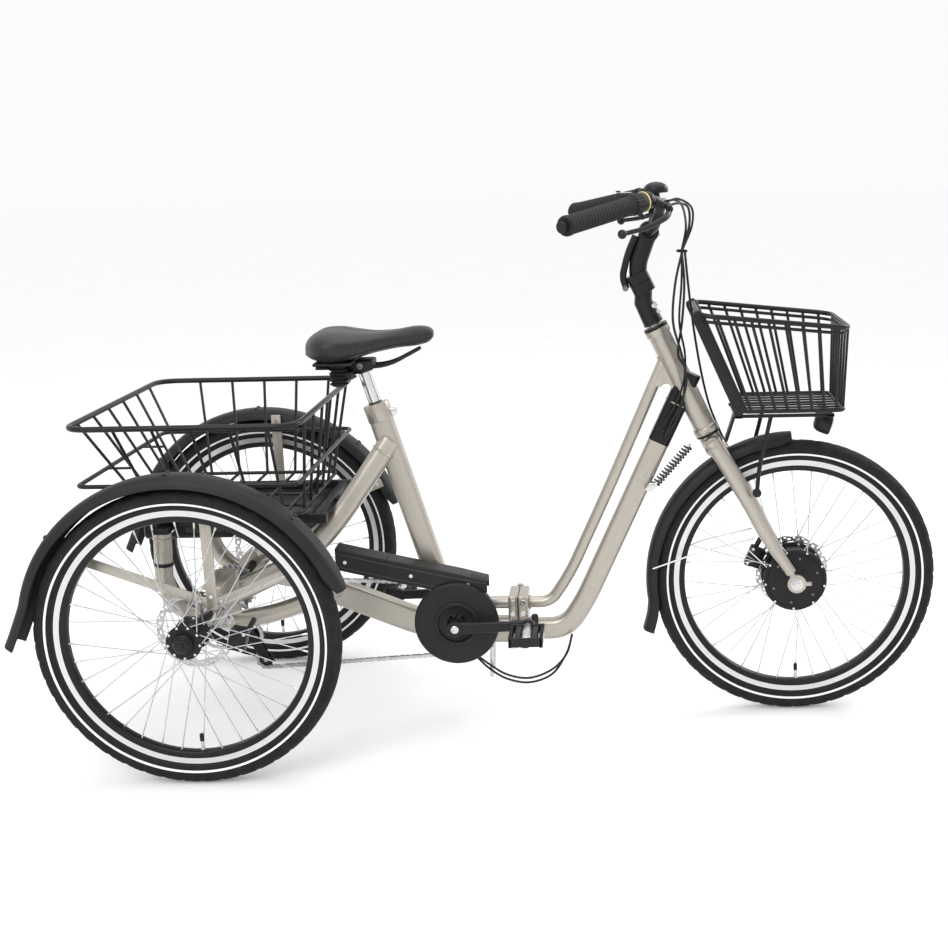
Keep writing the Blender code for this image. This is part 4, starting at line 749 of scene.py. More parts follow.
# ================================================================ drive
teeth = (11, 13, 15, 18, 21, 24, 28)
cogs, O = [], V((0, 0, R))
for i, (T, q) in enumerate(zip(teeth, (0.0240, 0.0275, 0.0318, 0.0370, 0.0425, 0.0478, 0.0530))):
    y = -0.0412 + i * 0.0045
    cogs.append(gear(O + V((0, y, 0)), -0.0009, 0.0009, 0.0150 if i < 3 else q - 0.0165, q, T))
body_c = [lathe([(0.0115, -0.0420), (0.0160, -0.0420), (0.0160, 0.0100), (0.0115, 0.0100)], O, (0, 1, 0), 40, ring=True)]
for i in range(3, 7):
    for j in range(5):
        a = TAU * j / 5 + 0.2 * i
        q = (0.0240, 0.0275, 0.0318, 0.0370, 0.0425, 0.0478, 0.0530)[i] - 0.0150
        body_c.append(sweep([O + V((0.0150 * math.cos(a), -0.0412 + i * 0.0045, 0.0150 * math.sin(a))),
            O + V((q * math.cos(a + 0.2), -0.0412 + i * 0.0045, q * math.sin(a + 0.2)))], rbox(0.006, 0.0015, 0.2, 2),
                up=(0, 1, 0)))
piece("cassette_cogs", "cassette_body", [(SILV, cogs),
    (DSTEEL, body_c + [lathe([(0.0125, -0.0445), (0.0190, -0.0440), (0.0190, -0.0424), (0.0125, -0.0424)], O, (0, 1, 0), 40,
        ring=True)])], "cassette")
C0 = V((BB.x, 0, BB.z))
piece("chainring_teeth", "crankset",
    [(BLACK, [gear(C0, -0.0638, -0.0607, 0.0620, CR - 0.0008, 38),
        lathe([(0.0180, -0.0640), (0.0625, -0.0634), (0.0625, -0.0611), (0.0180, -0.0605)], C0, (0, 1, 0), 64, ring=True)])],
            "chainring")
cover = [lathe([(0.0205, -0.0915), (0.0380, -0.0915), (0.0395, -0.0925), (0.0400, -0.0985), (0.0410, -0.0995), (0.0465, -0.0995),
    (0.0480, -0.0985), (0.0485, -0.0960), (0.0790, -0.0970), (0.0850, -0.0966), (0.0885, -0.0952), (0.0900, -0.0932),
        (0.0900, -0.0895), (0.0890, -0.0890), (0.0205, -0.0890)], C0, (0, 1, 0), 96, ring=True)]
piece("guard_face", "crankset", [(PLAST, cover)], "chain_guard_disc")

def crank(side, s):
    a0, a1 = V((BB.x, s * 0.1250, BB.z)), V((BB.x - s * 0.1548, s * 0.1290, BB.z - s * 0.005))
    arm = [a0.lerp(a1, t) for t in (0, 0.08, 0.25, 0.5, 0.75, 0.92, 1.0)]
    sh = [cyl((BB.x, s * 0.1180, BB.z), (BB.x, s * 0.1340, BB.z), 0.0175, 48, ch=0.0015),
        sweep(arm, rbox(0.024, 0.0130, 0.35, 7), up=(0, 1, 0), scale=[1.15, 1.15, 1.05, 0.95, 0.88, 0.88, 0.86]),
          cyl((a1.x, s * 0.1215, a1.z), (a1.x, s * 0.1365, a1.z), 0.0140, 40, ch=0.0015)]
    sv = [cyl((a1.x, s * 0.1300, a1.z), (a1.x, s * 0.2290, a1.z), 0.0050, 20),
        bolt((BB.x, s * 0.1336, BB.z), (0, s, 0), 0.0085, 0.0035), hexa((a1.x, s * 0.1365, a1.z), (a1.x, s * 0.1390, a1.z), 0.0085)]
    if s < 0:
        sh += [cyl((BB.x, -0.1240, BB.z), (BB.x, -0.0645, BB.z), 0.0085, 32)]
        sh += [tube([(BB.x, -0.1000, BB.z), (BB.x + 0.030 * math.cos(t), -0.0705, BB.z + 0.030 * math.sin(t))], 0.0050, 12)
            for t in (0.5, 2.6, 4.7)]
    else:
        sh += [cyl((BB.x, -0.0640, BB.z), (BB.x, 0.1240, BB.z), 0.0085, 32)]
    piece(f"crank_arm_{side}", "crankset", [(BLACK, sh), (SILV, sv)], f"crank_{side}")
    return a1

def pedal(side, s, c):
    x, z = c.x, c.z
    bk, sv = [], [lathe([(0.0056, 0.1400), (0.0100, 0.1402), (0.0115, 0.1420), (0.0115, 0.2330), (0.0100, 0.2350),
        (0.0056, 0.2352)], (x, 0, z), (0, s, 0), 32, ring=True)]
    bk.append(lathe([(0.0040, 0.2352), (0.0110, 0.2352), (0.0110, 0.2380), (0.0085, 0.2400)], (x, 0, z), (0, s, 0), 32))
    for dx in (-0.0315, 0.0315):
        bk.append(box(x + dx - 0.0035, x + dx + 0.0035, s * 0.1440, s * 0.2360, z - 0.0100, z + 0.0100, 0.0015, 3))
        for i in range(9):
            yy = 0.1500 + 0.0100 * i
            bk.append(box(x + dx - 0.0034, x + dx + 0.0034, s * yy, s * (yy + 0.0050), z - 0.0115, z + 0.0115, 0.0008))
        bk.append(box(x + dx * 0.55 - 0.006, x + dx * 0.55 + 0.006, s * 0.1460, s * 0.2340, z - 0.0080, z + 0.0080, 0.002))
        sv.append(box(x + dx * 1.115 - 0.0006, x + dx * 1.115 + 0.0006, s * 0.165, s * 0.215, z - 0.0065, z + 0.0065, 0.0004))
    for yy in (0.1440, 0.2290):
        bk.append(box(x - 0.0345, x + 0.0345, s * yy, s * (yy + 0.007), z - 0.0100, z + 0.0100, 0.002, 3))
    piece(f"pedal_cage_{side}", f"pedal_{side}_body", [(PLAST, bk), (SILV, sv)], f"pedal_{side}")

for side, s in SIDES:
    pedal(side, s, crank(side, s))

def arc(c, q, a0, a1, k, y):
    return [(c.x + q * math.cos(math.radians(a0 + (a1 - a0) * i / k)), y, c.z + q * math.sin(math.radians(a0 + (a1 - a0) * i / k)))
        for i in range(k + 1)]
J1, J2 = V((0.040, 0, 0.198)), V((0.066, 0, 0.142))
run = arc(BB, CR + 0.0010, 92, -102, 40, -0.0622) + arc(J2, 0.0200, -85, -190, 10, -0.0385) + arc(J1, 0.0200, -10, 35, 6,
    -0.0385) + arc(O, 0.0270, -45, -268, 20, -0.0385)
P = [V(p) for p in run]
P.append(P[0])
cum = [0.0]
for i in range(len(P) - 1):
    cum.append(cum[-1] + (P[i + 1] - P[i]).length)
NL = int(cum[-1] / 0.0127) // 2 * 2
def on_run(t):
    t = t % cum[-1]
    for i in range(len(P) - 1):
        if cum[i + 1] >= t:
            return P[i].lerp(P[i + 1], (t - cum[i]) / max(1e-9, cum[i + 1] - cum[i]))
pins = [on_run(cum[-1] * i / NL) for i in range(NL)]
links, roll_ = [], []
for i in range(NL):
    p, q = pins[i], pins[(i + 1) % NL]
    e = (q - p).normalized()
    w = V((-e.z, 0, e.x)).normalized()
    h = 0.0031 if i % 2 else 0.0019
    out = [p + (w * math.cos(a) * 0.0041 - e * math.sin(a) * 0.0041) for a in [math.pi * k / 5 for k in range(6)]]
    out += [p.lerp(q, 0.5) - w * 0.0030] + [q + (w * -math.cos(a) * 0.0041 + e * math.sin(a) * 0.0041)
        for a in [math.pi * k / 5 for k in range(6)]] + [p.lerp(q, 0.5) + w * 0.0030]
    for y in (-h - 0.0010, h):
        k = len(out)
        va = [v + V((0, y, 0)) for v in out] + [v + V((0, y + 0.0010, 0)) for v in out]
        links.append(fixed(va, [tuple(range(k)), tuple(range(2 * k - 1, k - 1, -1))] + [(j, j + k, (j + 1) % k + k, (j + 1) % k)
            for j in range(k)]))
    roll_.append(lathe([(0.0016, -0.0040), (0.0019, -0.0034), (0.0019, -0.0018), (0.0036, -0.0017), (0.0036, 0.0017),
        (0.0019, 0.0018), (0.0019, 0.0034), (0.0016, 0.0040)], p, (0, 1, 0), 8))
piece("chain_links", "rear_half", [(STEEL, links), (DSTEEL, roll_)], "chain", smooth=30)

jock = [gear(V((c.x, -0.0385, c.z)), -0.0010, 0.0010, 0.0050, 0.0190, 10, 0.0036)
    for c in (J1, J2)] + [cyl((c.x, -0.0430, c.z), (c.x, -0.0350, c.z), 0.0095, 24) for c in (J1, J2)]
dr = []
for y in (-0.0470, -0.0345):
    dd = (J2 - J1).normalized()
    ww = V((-dd.z, 0, dd.x))
    out = [J1 + (ww * math.cos(a) - dd * math.sin(a)) * 0.0110 for a in [math.pi * k / 8
        for k in range(9)]] + [J2 + (ww * -math.cos(a) + dd * math.sin(a)) * 0.0100 for a in [math.pi * k / 8 for k in range(9)]]
    dr.append(prism([(v.x, v.z) for v in out], y - 0.0008, y + 0.0008, 0.0004))
dr += [sweep([(0.041, -0.0640, 0.246), (0.041, -0.0575, 0.224), (0.041, -0.0520, 0.193)], rbox(0.020, 0.012, 0.3, 5), up=(1, 0, 0)),
    cyl((0.006, -0.0600, 0.252), (0.044, -0.0580, 0.226), 0.0110, 28, ch=0.002),
       cyl((0.006, -0.0640, 0.252), (0.006, -0.0440, 0.252), 0.0140, 36, ch=0.002),
           cyl((0.040, -0.0600, 0.198), (0.040, -0.0470, 0.198), 0.0120, 32, ch=0.002)]
dsv = [bolt((0.006, -0.0640, 0.252), (0, -1, 0), 0.0062, 0.003), bolt((0.040, -0.0600, 0.198), (0, -1, 0), 0.0050, 0.002),
    bolt((J2.x, -0.0478, J2.z), (0, -1, 0), 0.0042, 0.002), cyl((0.032, -0.0700, 0.245), (0.018, -0.0760, 0.256), 0.0035, 16)]
piece("derailleur_cage", "rear_half", [(BLACK, dr), (SILV, dsv), (PLAST, jock)], "derailleur")
ch = [(0.0, -0.0860), (0.0, -0.0370), (-0.0015, -0.0352), (-0.046, -0.0350), (-0.046, -0.0385), (-0.0035, -0.0385),
    (-0.0035, -0.0845), (-0.046, -0.0845), (-0.046, -0.0880), (-0.0020, -0.0878)]
line = [(0.242, 0.402, 1.0), (0.350, 0.376, 1.0), (0.500, 0.342, 1.0), (0.560, 0.326, 0.55)]
vs, k = [], len(ch)
st = []
for i in range(3):
    for j in range(8):
        t = j / 8
        st.append([line[i][m] * (1 - t) + line[i + 1][m] * t for m in range(3)])
st.append(line[-1])
for x, z, h in st:
    vs += [V((x, y, z + dz * h)) for dz, y in ch]
fs = [(i * k + j, i * k + (j + 1) % k, (i + 1) * k + (j + 1) % k, (i + 1) * k + j) for i in range(len(st) - 1) for j in range(k)]
fs += [tuple(range(k - 1, -1, -1)), tuple(range((len(st) - 1) * k, len(st) * k))]
ridge = [tube(flow([(x, -0.0882, z - 0.010 * h) for x, z, h in line], 6), 0.0012, 8),
    tube(flow([(x, -0.0882, z - 0.038 * h) for x, z, h in line[:3]], 6), 0.0010, 8)]
piece("chain_cover_shell", "rear_half", [(PLAST, [fixed(vs, fs), box(0.348, 0.3500, -0.0890, -0.0345, 0.331, 0.3772, 0.0005)]),
    (DARK, ridge), (SILV, [bolt((x, -0.0880, z), (0, -1, 0), 0.0042, 0.002) for x,
        z in ((0.262, 0.372), (0.400, 0.340), (0.520, 0.318))])], "chain_cover")

# ================================================================ front frame
ft = bend([(0.979, 0, 0.712), (0.924, 0, 0.595), (0.764, 0, 0.252), (0.722, 0, 0.190), (0.6380, 0, 0.190)], 0.060, 14)
ut = bend([(0.9470, 0, 0.790), (0.823, 0, 0.508), (0.735, 0, 0.318), (0.690, 0, 0.2505), (0.6380, 0, 0.2505)], 0.055, 14)
front = [lathe([(0.0160, -0.1225), (0.0262, -0.1225), (0.0270, -0.1215), (0.0270, -0.1100), (0.0262, -0.1085), (0.0235, -0.1060),
    (0.0235, 0.1060), (0.0256, 0.1085), (0.0262, 0.1100), (0.0262, 0.1215), (0.0160, 0.1225)], (HT + HB) / 2, HU, 64, ring=False),
         sweep(ft, rbox(0.045, 0.038, 0.32, 8), up=(0, 1, 0)), tube(ut, 0.0125, 32),
         box(0.6206, 0.6420, -0.0450, 0.0405, 0.1580, 0.2760, 0.004, 3),
             box(0.6225, 0.6370, -0.0520, -0.0300, 0.2300, 0.2790, 0.003, 3),
         cyl((PINX, PINY, 0.1955), (PINX, PINY, 0.2395), 0.0112, 32), box(0.6300, 0.6410, 0.0340, 0.0520, 0.1965, 0.2385),
         weld((0.966, 0, 0.684), (0.43, 0, 0.90), 0.0235, 0.0205, 0.0022, (0, 1, 0)),
             weld((0.9400, 0, 0.7740), (0.40, 0, 0.91), 0.0140, 0.0140, 0.0020),
                 weld((0.6440, 0, 0.190), (1, 0, 0), 0.0230, 0.0200, 0.0022, (0, 1, 0)),
                     weld((0.6440, 0, 0.2505), (1, 0, 0), 0.0135, 0.0135, 0.0018)]
slot_top = [(0.9437 + 0.0122 * math.cos(math.radians(a_)), 0.7145 + 0.0122 * math.sin(math.radians(a_)))
    for a_ in range(156, -30, -15)]
front.append(prism([(0.9170, 0.7230)] + slot_top + [(0.9760, 0.6960), (1.0000, 0.6900), (0.9480, 0.7900)], -0.0125, 0.0125, 0.003,
    3))
FD = (V((0.924, 0, 0.595)) - V((0.764, 0, 0.252))).normalized()
D0, D1 = V((0.924, 0, 0.595)) + FD * 0.0079, V((0.924, 0, 0.595)) + FD * 0.1683
decal = [sweep([D0, D0.lerp(D1, 0.5), D1], rbox(0.0456, 0.0386, 0.32, 8), up=(0, 1, 0))]
port = [lathe([(0.0040, 0), (0.0085, 0), (0.0085, 0.0035), (0.0055, 0.0050), (0.0040, 0.0050)], (0.938, -0.0185, 0.6225),
    (0, -1, 0), 28, ring=True)]
caps = [lathe([(0.0165, q), (0.0252, q), (0.0258, q + 0.001), (0.0258, q + 0.0042), (0.0252, q + 0.005), (0.0165, q + 0.005)],
    (HT + HB) / 2, HU, 56, ring=True) for q in (-0.1275, 0.1226)]
brs = [bolt((0.6320, -0.0518, z), (0, -1, 0), 0.0060, 0.004) for z in (0.2420, 0.2660)] + [bolt((0.6100, -0.0518, z), (0, -1, 0),
    0.0060, 0.004) for z in (0.2420, 0.2660)]
piece("front_tubes", "front_half", [(CHAMP, front), (DECAL, decal), (BLACK, port + caps),
    (SILV, brs + [prism([(0.8960, 0.5060), (0.9080, 0.5020), (0.9230, 0.5120), (0.9220, 0.5220), (0.9060, 0.5200)], -0.0360,
        -0.0185, 0.001)])], "front_frame")
piece("fold_lever", "coupler_lever", [(BLACK, [box(0.6010, 0.6600, -0.0620, -0.0530, 0.1990, 0.2220, 0.003, 3)]),
    (PLAST, [lathe([(0.0060, 0), (0.0075, 0.002), (0.0075, 0.040), (0.0060, 0.043)], (0.6570, -0.0560, 0.1970), (0, 0, 1), 28)]),
        (SILV, [bolt((0.612, -0.0618, 0.2105), (0, -1, 0), 0.0055, 0.003)])], "fold_latch")

# ================================================================ fork, front hub, carrier, basket, lamp
fkp = [tube([HB - HU * 0.012, HT + HU * 0.0100], 0.0146, 36), cyl(V((HB.x, -0.052, HB.z)) - HU * 0.026,
    V((HB.x, 0.052, HB.z)) - HU * 0.026, 0.0200, 40, ch=0.003), cyl(HB - HU * 0.030, HB - HU * 0.004, 0.0225, 48, ch=0.002)]
for s in (-1, 1):
    path = bend([(1.036, s * 0.0500, 0.612), (1.094, s * 0.0570, 0.518), (1.162, s * 0.0580, 0.388), (1.204, s * 0.0580, 0.326)],
        0.06, 12)
    m = len(path) - 1
    fkp += [tube(path, [0.0178 if i < m * 0.30 else 0.0178 - 0.0060 * (i / m - 0.30) / 0.70 for i in range(m + 1)], 36),
        cyl((WB, s * 0.0500, R), (WB, s * 0.0620, R), 0.0200, 44, ch=0.001),
            tube([(1.200, s * 0.0575, 0.332), (WB, s * 0.0560, R)], 0.0070, 20),
            weld((1.040, s * 0.0505, 0.600), (0.5, 0, -0.85), 0.0180, None, 0.0018),
                box(1.222, 1.2480, s * 0.0540, s * 0.0610, 0.2960, 0.3050, 0.002)]
fsv = [bolt((1.128, -0.0750, 0.505), (0, -1, 0), 0.0052, 0.0035), bolt((1.150, 0.0735, 0.420), (0, 1, 0), 0.0050, 0.003)]
piece("fork_blades", "steered", [(CHAMP, fkp), (SILV, fsv)], "fork")
piece("axle_nuts", "steered", [(SILV, [hexa((WB, s * 0.0640, R), (WB, s * 0.0698, R), 0.0105)
    for s in (-1, 1)] + [cyl((WB, -0.0740, R), (WB, 0.0740, R), 0.0058,
        24)] + [lathe([(0.0062, s * 0.0624), (0.0130, s * 0.0624), (0.0130, s * 0.0640), (0.0062, s * 0.0640)], (WB, 0, R),
            (0, 1, 0), 32, ring=True) for s in (-1, 1)])], "front_axle")
car = [sweep(bend([(1.0690, 0, 0.6020), (1.0780, 0, 0.6300), (1.0890, 0, 0.6660)], 0.02), rbox(0.006, 0.030, 0.3, 5), up=(0, 1, 0)),
       box(1.0800, 1.2850, -0.0760, -0.0640, 0.6630, 0.6690), box(1.0800, 1.2850, 0.0640, 0.0760, 0.6630, 0.6690),
           box(1.0820, 1.0980, -0.0760, 0.0760, 0.6620, 0.6680), box(1.2680, 1.2840, -0.0760, 0.0760, 0.6620, 0.6680)]
for s in (-1, 1):
    car += [tube(bend([(1.1280, s * 0.0790, 0.5060), (1.1320, s * 0.0790, 0.56), (1.1560, s * 0.0700, 0.6650)], 0.03), 0.0045, 16),
        lathe([(0.0090, 0.0740), (0.0090, 0.0830)], (1.128, 0, 0.506), (0, s, 0), 28)]
piece("carrier_bars", "steered", [(BLACK, car)], "front_carrier")
fb = [tube(loop([(1.006, -0.138, 0.881), (1.303, -0.130, 0.850), (1.303, 0.130, 0.850), (1.006, 0.138, 0.881)], 0.035, 10), 0.0050,
    14, closed=True),
      tube(loop([(1.008, -0.136, 0.869), (1.301, -0.128, 0.838), (1.301, 0.128, 0.838), (1.008, 0.136, 0.869)], 0.035, 10), 0.0034,
          12, closed=True),
      tube(loop([(1.092, -0.104, 0.6820), (1.300, -0.104, 0.6820), (1.300, 0.104, 0.6820), (1.092, 0.104, 0.6820)], 0.02, 8),
          0.0048, 12, closed=True)]
NB = 8
for s in (-1, 1):
    for i in range(NB):
        q = (i + 0.6) / NB
        fb.append(wire((1.020 + 0.270 * q, s * (0.1376 - 0.008 * q), 0.8795 - 0.0290 * q), (1.098 + 0.196 * q, s * 0.104, 0.682),
            0.0031))
    fb.append(sweep([(1.0000, s * 0.122, 0.8850), (1.0040, s * 0.120, 0.8780), (1.089, s * 0.102, 0.6880),
        (1.096, s * 0.102, 0.6780)], rbox(0.026, 0.016, 0.35, 6), up=(0, 1, 0), scale=[0.7, 1, 1, 0.8]))
for i in range(7):
    y = -0.088 + 0.0293 * i
    fb.append(wire((1.303, y * 1.2, 0.850), (1.300, y, 0.682), 0.0026))
    fb.append(box(1.094, 1.300, y - 0.0045, y + 0.0045, 0.6795, 0.6830, 0.0008))
for z in (0.880, 0.846, 0.812, 0.778, 0.744, 0.710, 0.690):
    x = 1.006 + (0.880 - z) * 0.45 - 0.004
    fb.append(box(x - 0.003, x + 0.003, -0.112, 0.112, z - 0.006, z + 0.005, 0.001))
piece("basket_wires_front", "steered", [(BLACK, fb)], "front_basket")
piece("lamp_shell", "steered", [(PLAST,
    [lathe([(0.0120, -0.0190), (0.0160, -0.0165), (0.0195, -0.0110), (0.0212, -0.0030), (0.0222, 0.0080), (0.0222, 0.0140),
        (0.0204, 0.0142)], (1.274, 0, 0.636), (0.96, 0, -0.28), 48), tube([(1.268, 0, 0.640), (1.262, 0, 0.6600)], 0.0060, 20)])],
            "headlamp")
piece("lamp_glass", "steered", [(LENS,
    [lathe([(0.0203, 0.0144), (0.0203, 0.0168), (0.0170, 0.0188), (0.0100, 0.0200), (0.0030, 0.0203)], (1.274, 0, 0.636),
        (0.96, 0, -0.28), 48)])], "headlamp_lens")

# ================================================================ steering spring
a, b = V((0.9165, -0.0340, 0.5150)), V((0.9930, -0.0340, 0.6020))
e, w = basis(b - a)
TN = 13
coil = [a + (b - a) * (0.06 + 0.88 * i / (TN * 16)) + e * 0.0082 * math.cos(TAU * i / 16) + w * 0.0082 * math.sin(TAU * i / 16)
    for i in range(TN * 16 + 1)]
ends = [tube(flow([a - (b - a) * 0.0, a + (b - a) * 0.03, coil[0]], 6), 0.0017, 10),
    tube(flow([coil[-1], b - (b - a) * 0.03, b], 6), 0.0017, 10)]
piece("damper_spring", None, [(BLACK, [tube(coil, 0.0018, 8)] + ends),
    (SILV, [tube([a + (b - a) * 0.02, a + (b - a) * 0.98], 0.0030, 14)])], "steering_spring", blend=("front_half", "steered", a, b))

# ================================================================ stem and handlebar
sb = [tube([HT + HU * 0.0104, HT + HU * 0.020, HT + HU * 0.060, SH - HU * 0.014], [0.0210, 0.0205, 0.0190, 0.0178], 44),
    sweep([SH - HU * 0.022, SH - HU * 0.0004], rbox(0.046, 0.042, 0.32, 8), up=(0, 1, 0)),
        weld(SH - HU * 0.022, HU, 0.0190, None, 0.0018)]
piece("stem_lower_tube", "steered", [(BLACK, sb),
    (SILV, [cyl((0.920, -0.0235, 0.8900), (0.920, 0.0235, 0.8900), 0.0052, 20),
        bolt((0.9290, -0.0195, 0.8790), (0, -1, 0), 0.0048, 0.004), bolt((0.9230, -0.0195, 0.8930), (0, -1, 0), 0.0048, 0.004)])],
            "stem_base")
su = [sweep([SH + HU * 0.0004, SH + HU * 0.020], rbox(0.046, 0.042, 0.32, 8), up=(0, 1, 0)),
    tube(bend([SH + HU * 0.010, (0.888, 0, 0.975), (0.9085, 0, 1.0310)], 0.03), 0.0182, 40),
      lathe([(0.0130, -0.021), (0.0195, -0.021), (0.0205, -0.020), (0.0205, -0.0015), (0.0195, -0.0006), (0.0195, 0.0006),
          (0.0205, 0.0015), (0.0205, 0.020), (0.0195, 0.021), (0.0130, 0.021)], BC, (0, 1, 0), 56, ring=True),
              weld((0.9065, 0, 1.0240), (0.33, 0, 0.94), 0.0165, None, 0.0018)]
piece("stem_upper_tube", "bars", [(BLACK, su),
    (SILV, [bolt(BC + V((0.0190, y, -0.006)), (1, 0, -0.3), 0.0040, 0.004) for y in (-0.013, 0.013)])], "stem_upper")
piece("stem_lever_arm", "stem_lever",
    [(BLACK, [sweep(bend([(0.8640, 0, 0.9240), (0.8560, 0, 0.9480), (0.8680, 0, 0.9950), (0.8840, 0, 1.0300)], 0.02),
        rbox(0.014, 0.024, 0.4, 6), up=(0, 1, 0), scale=None)]), (DSTEEL,
            [cyl((0.8620, -0.0130, 0.9250), (0.8620, 0.0130, 0.9250), 0.0060, 28)])], "stem_latch")
half = bend([(0.911, -0.024, 1.038), (0.922, -0.050, 1.052), (0.9350, -0.088, 1.096), G0, G1], 0.03, 12)
rail = [V((0.911, 0.0, 1.038))] + half
bar = [V((p.x, -p.y, p.z)) for p in reversed(rail[1:])] + rail
hb, hsv = [tube(bar, 0.0111, 32)], []
for s in (-1, 1):
    c0, dd = mir(G0 + GD * 0.002, s), mir(GD, s)
    hb += [lathe([(0.0120, 0.0), (0.0158, 0.0), (0.0165, 0.001), (0.0165, 0.0150), (0.0158, 0.0160), (0.0120, 0.0160)], c0, dd, 44,
        ring=True), tube([mir((0.911, -0.140, 1.104), s), mir((0.938, -0.136, 1.091), s)], [0.0105, 0.0085], 24),
           cyl(mir((0.948, -0.152, 1.087), s), mir((0.946, -0.118, 1.0925), s), 0.0072, 24, ch=0.001)]
    hsv += [cyl(mir((0.946, -0.118, 1.0925), s), mir((0.947, -0.106, 1.0935), s), 0.0042, 16),
        bolt(mir((0.9480, -0.1405, 1.0895), s), (0, 0, 1), 0.0045, 0.003)]
piece("bar_tube", "bars", [(BLACK, hb), (SILV, hsv)], "handlebar")
for side, s in SIDES:
    c0, dd = mir(G0 + GD * 0.0600, s), mir(GD, s)
    if s < 0:
        tw = [(0.0118, -0.0390), (0.0180, -0.0390), (0.0186, -0.0380), (0.0195, -0.0270), (0.0195, -0.0250)]
        knobs = []
        e1, w1 = basis(dd)
        for i in range(18):
            t = TAU * i / 18
            o = e1 * math.cos(t) * 0.0193 + w1 * math.sin(t) * 0.0193
            knobs.append(tube([c0 + o + dd * -0.0225, c0 + o + dd * -0.0030], 0.0015, 8))
        piece("shift_barrel", "shifter",
            [(PLAST, [lathe(tw + [(0.0190, -0.0010), (0.0118, -0.0010)], c0, dd, 48, ring=True)] + knobs),
                (AMBER, [lathe([(0.0186, -0.0392), (0.0199, -0.0386), (0.0199, -0.0364), (0.0188, -0.0358)], c0, dd, 48,
                    ring=True)])], "shift_twist")
        z0 = 0.0
    else:
        z0 = -0.0390
    prof, n_r = [(0.0118, z0), (0.0178, z0), (0.0190, z0 + 0.0012), (0.0190, z0 + 0.0050), (0.0176, z0 + 0.0062)], 20
    for i in range(n_r):
        z = z0 + 0.008 + (0.176 - z0 - 0.008) * i / n_r
        st_ = (0.176 - z0 - 0.008) / n_r
        prof += [(0.0172, z), (0.0181, z + st_ * 0.20), (0.0181, z + st_ * 0.62), (0.0172, z + st_ * 0.80)]
    prof += [(0.0176, 0.1780), (0.0190, 0.1795), (0.0192, 0.1860), (0.0178, 0.1898), (0.0118, 0.1900)]
    piece(f"grip_sleeve_{side}", "bars",
        [(GRIP, [lathe(prof, c0, dd, 56, ring=True), lathe([(0.0119, 0.1840), (0.0119, 0.1900), (0.0080, 0.1904)], c0, dd, 32)])],
            f"grip_{side}")
    piv = mir((0.9480, -0.1405, 1.0840), s)
    blade = bend([piv, mir((0.9420, -0.170, 1.0730), s), mir((0.9050, -0.213, 1.0560), s), mir((0.8560, -0.262, 1.0480), s)], 0.04,
        10)
    m = len(blade)
    ball = [(0.0005, -0.0088)] + [(0.0088 * math.cos(math.radians(a_)), 0.0088 * math.sin(math.radians(a_)))
        for a_ in range(-75, 80, 15)] + [(0.0005, 0.0088)]
    piece(f"lever_blade_{side}", f"lever_{side}",
        [(BLACK, [sweep(blade, rbox(0.0095, 0.0120, 0.45, 6), up=(0, 0, 1), scale=[1.15 - 0.45 * i / m for i in range(m)]),
            lathe(ball, mir((0.8560, -0.262, 1.0480), s), (0, 0, 1), 28)])], f"brake_lever_{side}")
dome = [(0.0240 * math.cos(math.radians(a_)), 0.0140 * math.sin(math.radians(a_))) for a_ in range(0, 86, 8)]
piece("bell_dome", "bars", [(BLACK,
    [lathe([(0.0060, -0.0330), (0.0075, -0.0330), (0.0075, -0.0080), (0.0225, -0.0070), (0.0238, -0.0060),
        (0.0242, -0.0020)] + dome, (0.9250, -0.0500, 1.1230), (0, 0, 1), 56),
            lathe([(0.0120, -0.008), (0.0160, -0.006)], (0.9250, -0.0500, 1.0860), (0.3, -0.9, 0.5), 32)]),
                (DSTEEL, [lathe([(0.0030, 0.0130), (0.0030, 0.0140), (0.0020, 0.0140)], (0.9250, -0.0500, 1.1230), (0, 0, 1),
                    20)])], "bell")
piece("bell_hammer", "bell_lever", [(BLACK, [box(0.8860, 0.9000, -0.0520, -0.0480, 1.1040, 1.1120, 0.0015, 3)])], "bell_striker")
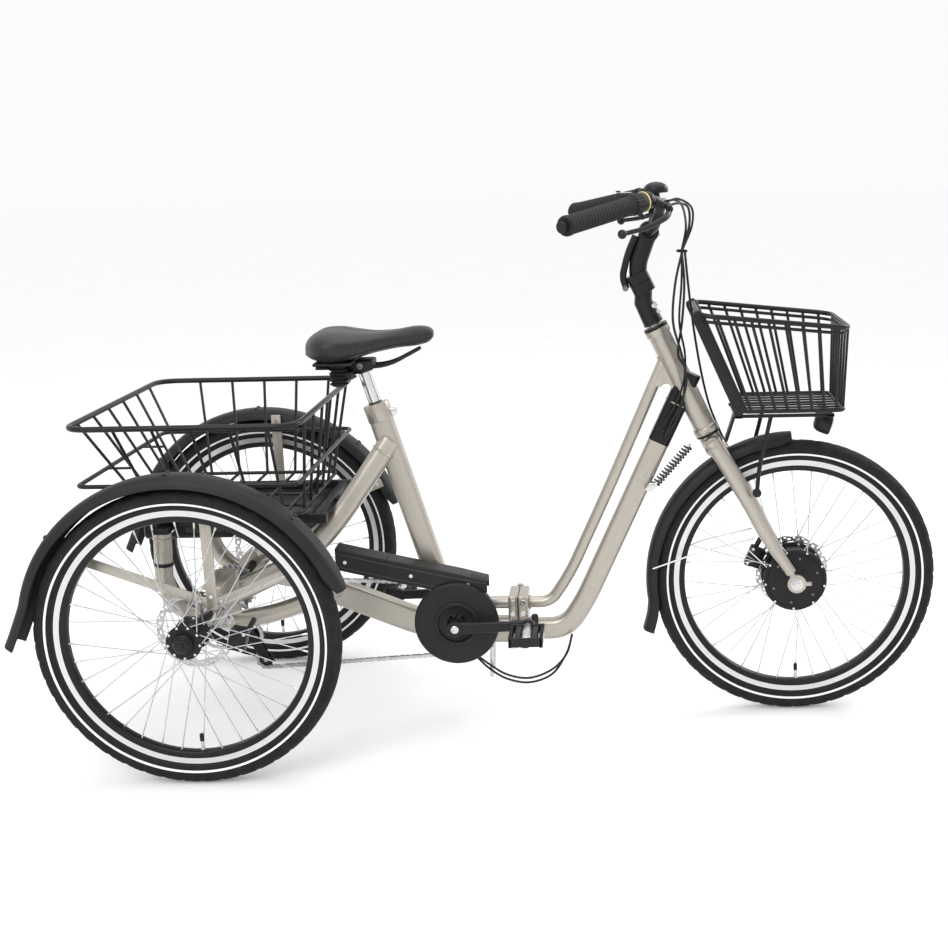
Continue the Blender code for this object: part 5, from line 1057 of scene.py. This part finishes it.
piece("display_case", "bars", [(PLAST, [box(0.8450, 0.8800, -0.0280, 0.0280, 1.0960, 1.1155, 0.004, 4),
    tube(flow([(0.8700, 0, 1.1000), (0.8850, 0, 1.0820), (0.9020, 0, 1.0640)], 6), 0.0050, 20),
        lathe([(0.0125, -0.010), (0.0150, -0.009), (0.0150, 0.009), (0.0125, 0.010)], (0.911, 0, 1.038), (0, 1, 0), 40)]),
            (GLASS, [box(0.8560, 0.8770, -0.0240, 0.0240, 1.1150, 1.1160, 0.0005)])], "display")
piece("display_key_cap", "display_key",
    [(DARK, [lathe([(0.0050, 0), (0.0050, 0.0022), (0.0042, 0.0030)], (0.8500, 0.0150, 1.1164), (0, 0, 1), 28)])], "display_button")
piece("cable_ties", "steered", [(PLAST,
    [lathe([(0.0105, -0.0018), (0.0115, -0.0014), (0.0115, 0.0014), (0.0105, 0.0018)], TIE, (0.05, -0.1, 1), 28, ring=True)])])

# ================================================================ floor and light
bm = bmesh.new()
bmesh.ops.create_grid(bm, x_segments=1, y_segments=1, size=40)
me = bpy.data.meshes.new("floor")
bm.to_mesh(me)
bm.free()
floor = bpy.data.objects.new("floor", me)
scene.collection.objects.link(floor)
FLOOR = mat("studio_floor", (0.84, 0.84, 0.84), 0.0, 0.9, var=0.01, scale=3, bump=0.0, emit=0.16)
me.materials.append(FLOOR)
world = bpy.data.worlds.new("studio")
scene.world = world
world.use_nodes = True
world.node_tree.nodes["Background"].inputs["Color"].default_value = (1, 1, 1, 1)
world.node_tree.nodes["Background"].inputs["Strength"].default_value = 0.97
def area(name, loc, aim, size, power):
    l = bpy.data.lights.new(name, "AREA")
    l.size, l.energy = size, power
    o = bpy.data.objects.new(name, l)
    o.location = loc
    o.rotation_euler = (V(aim) - V(loc)).to_track_quat("-Z", "Y").to_euler()
    scene.collection.objects.link(o)
area("key", (-1.2, -3.2, 3.0), (0, 0, 0.5), 2.2, 60)
area("top", (0.2, 0.2, 3.6), (0, 0, 0.4), 3.0, 40)
area("rim", (2.6, 1.8, 2.2), (0, 0, 0.5), 1.6, 40)
scene.view_settings.view_transform = "Standard"
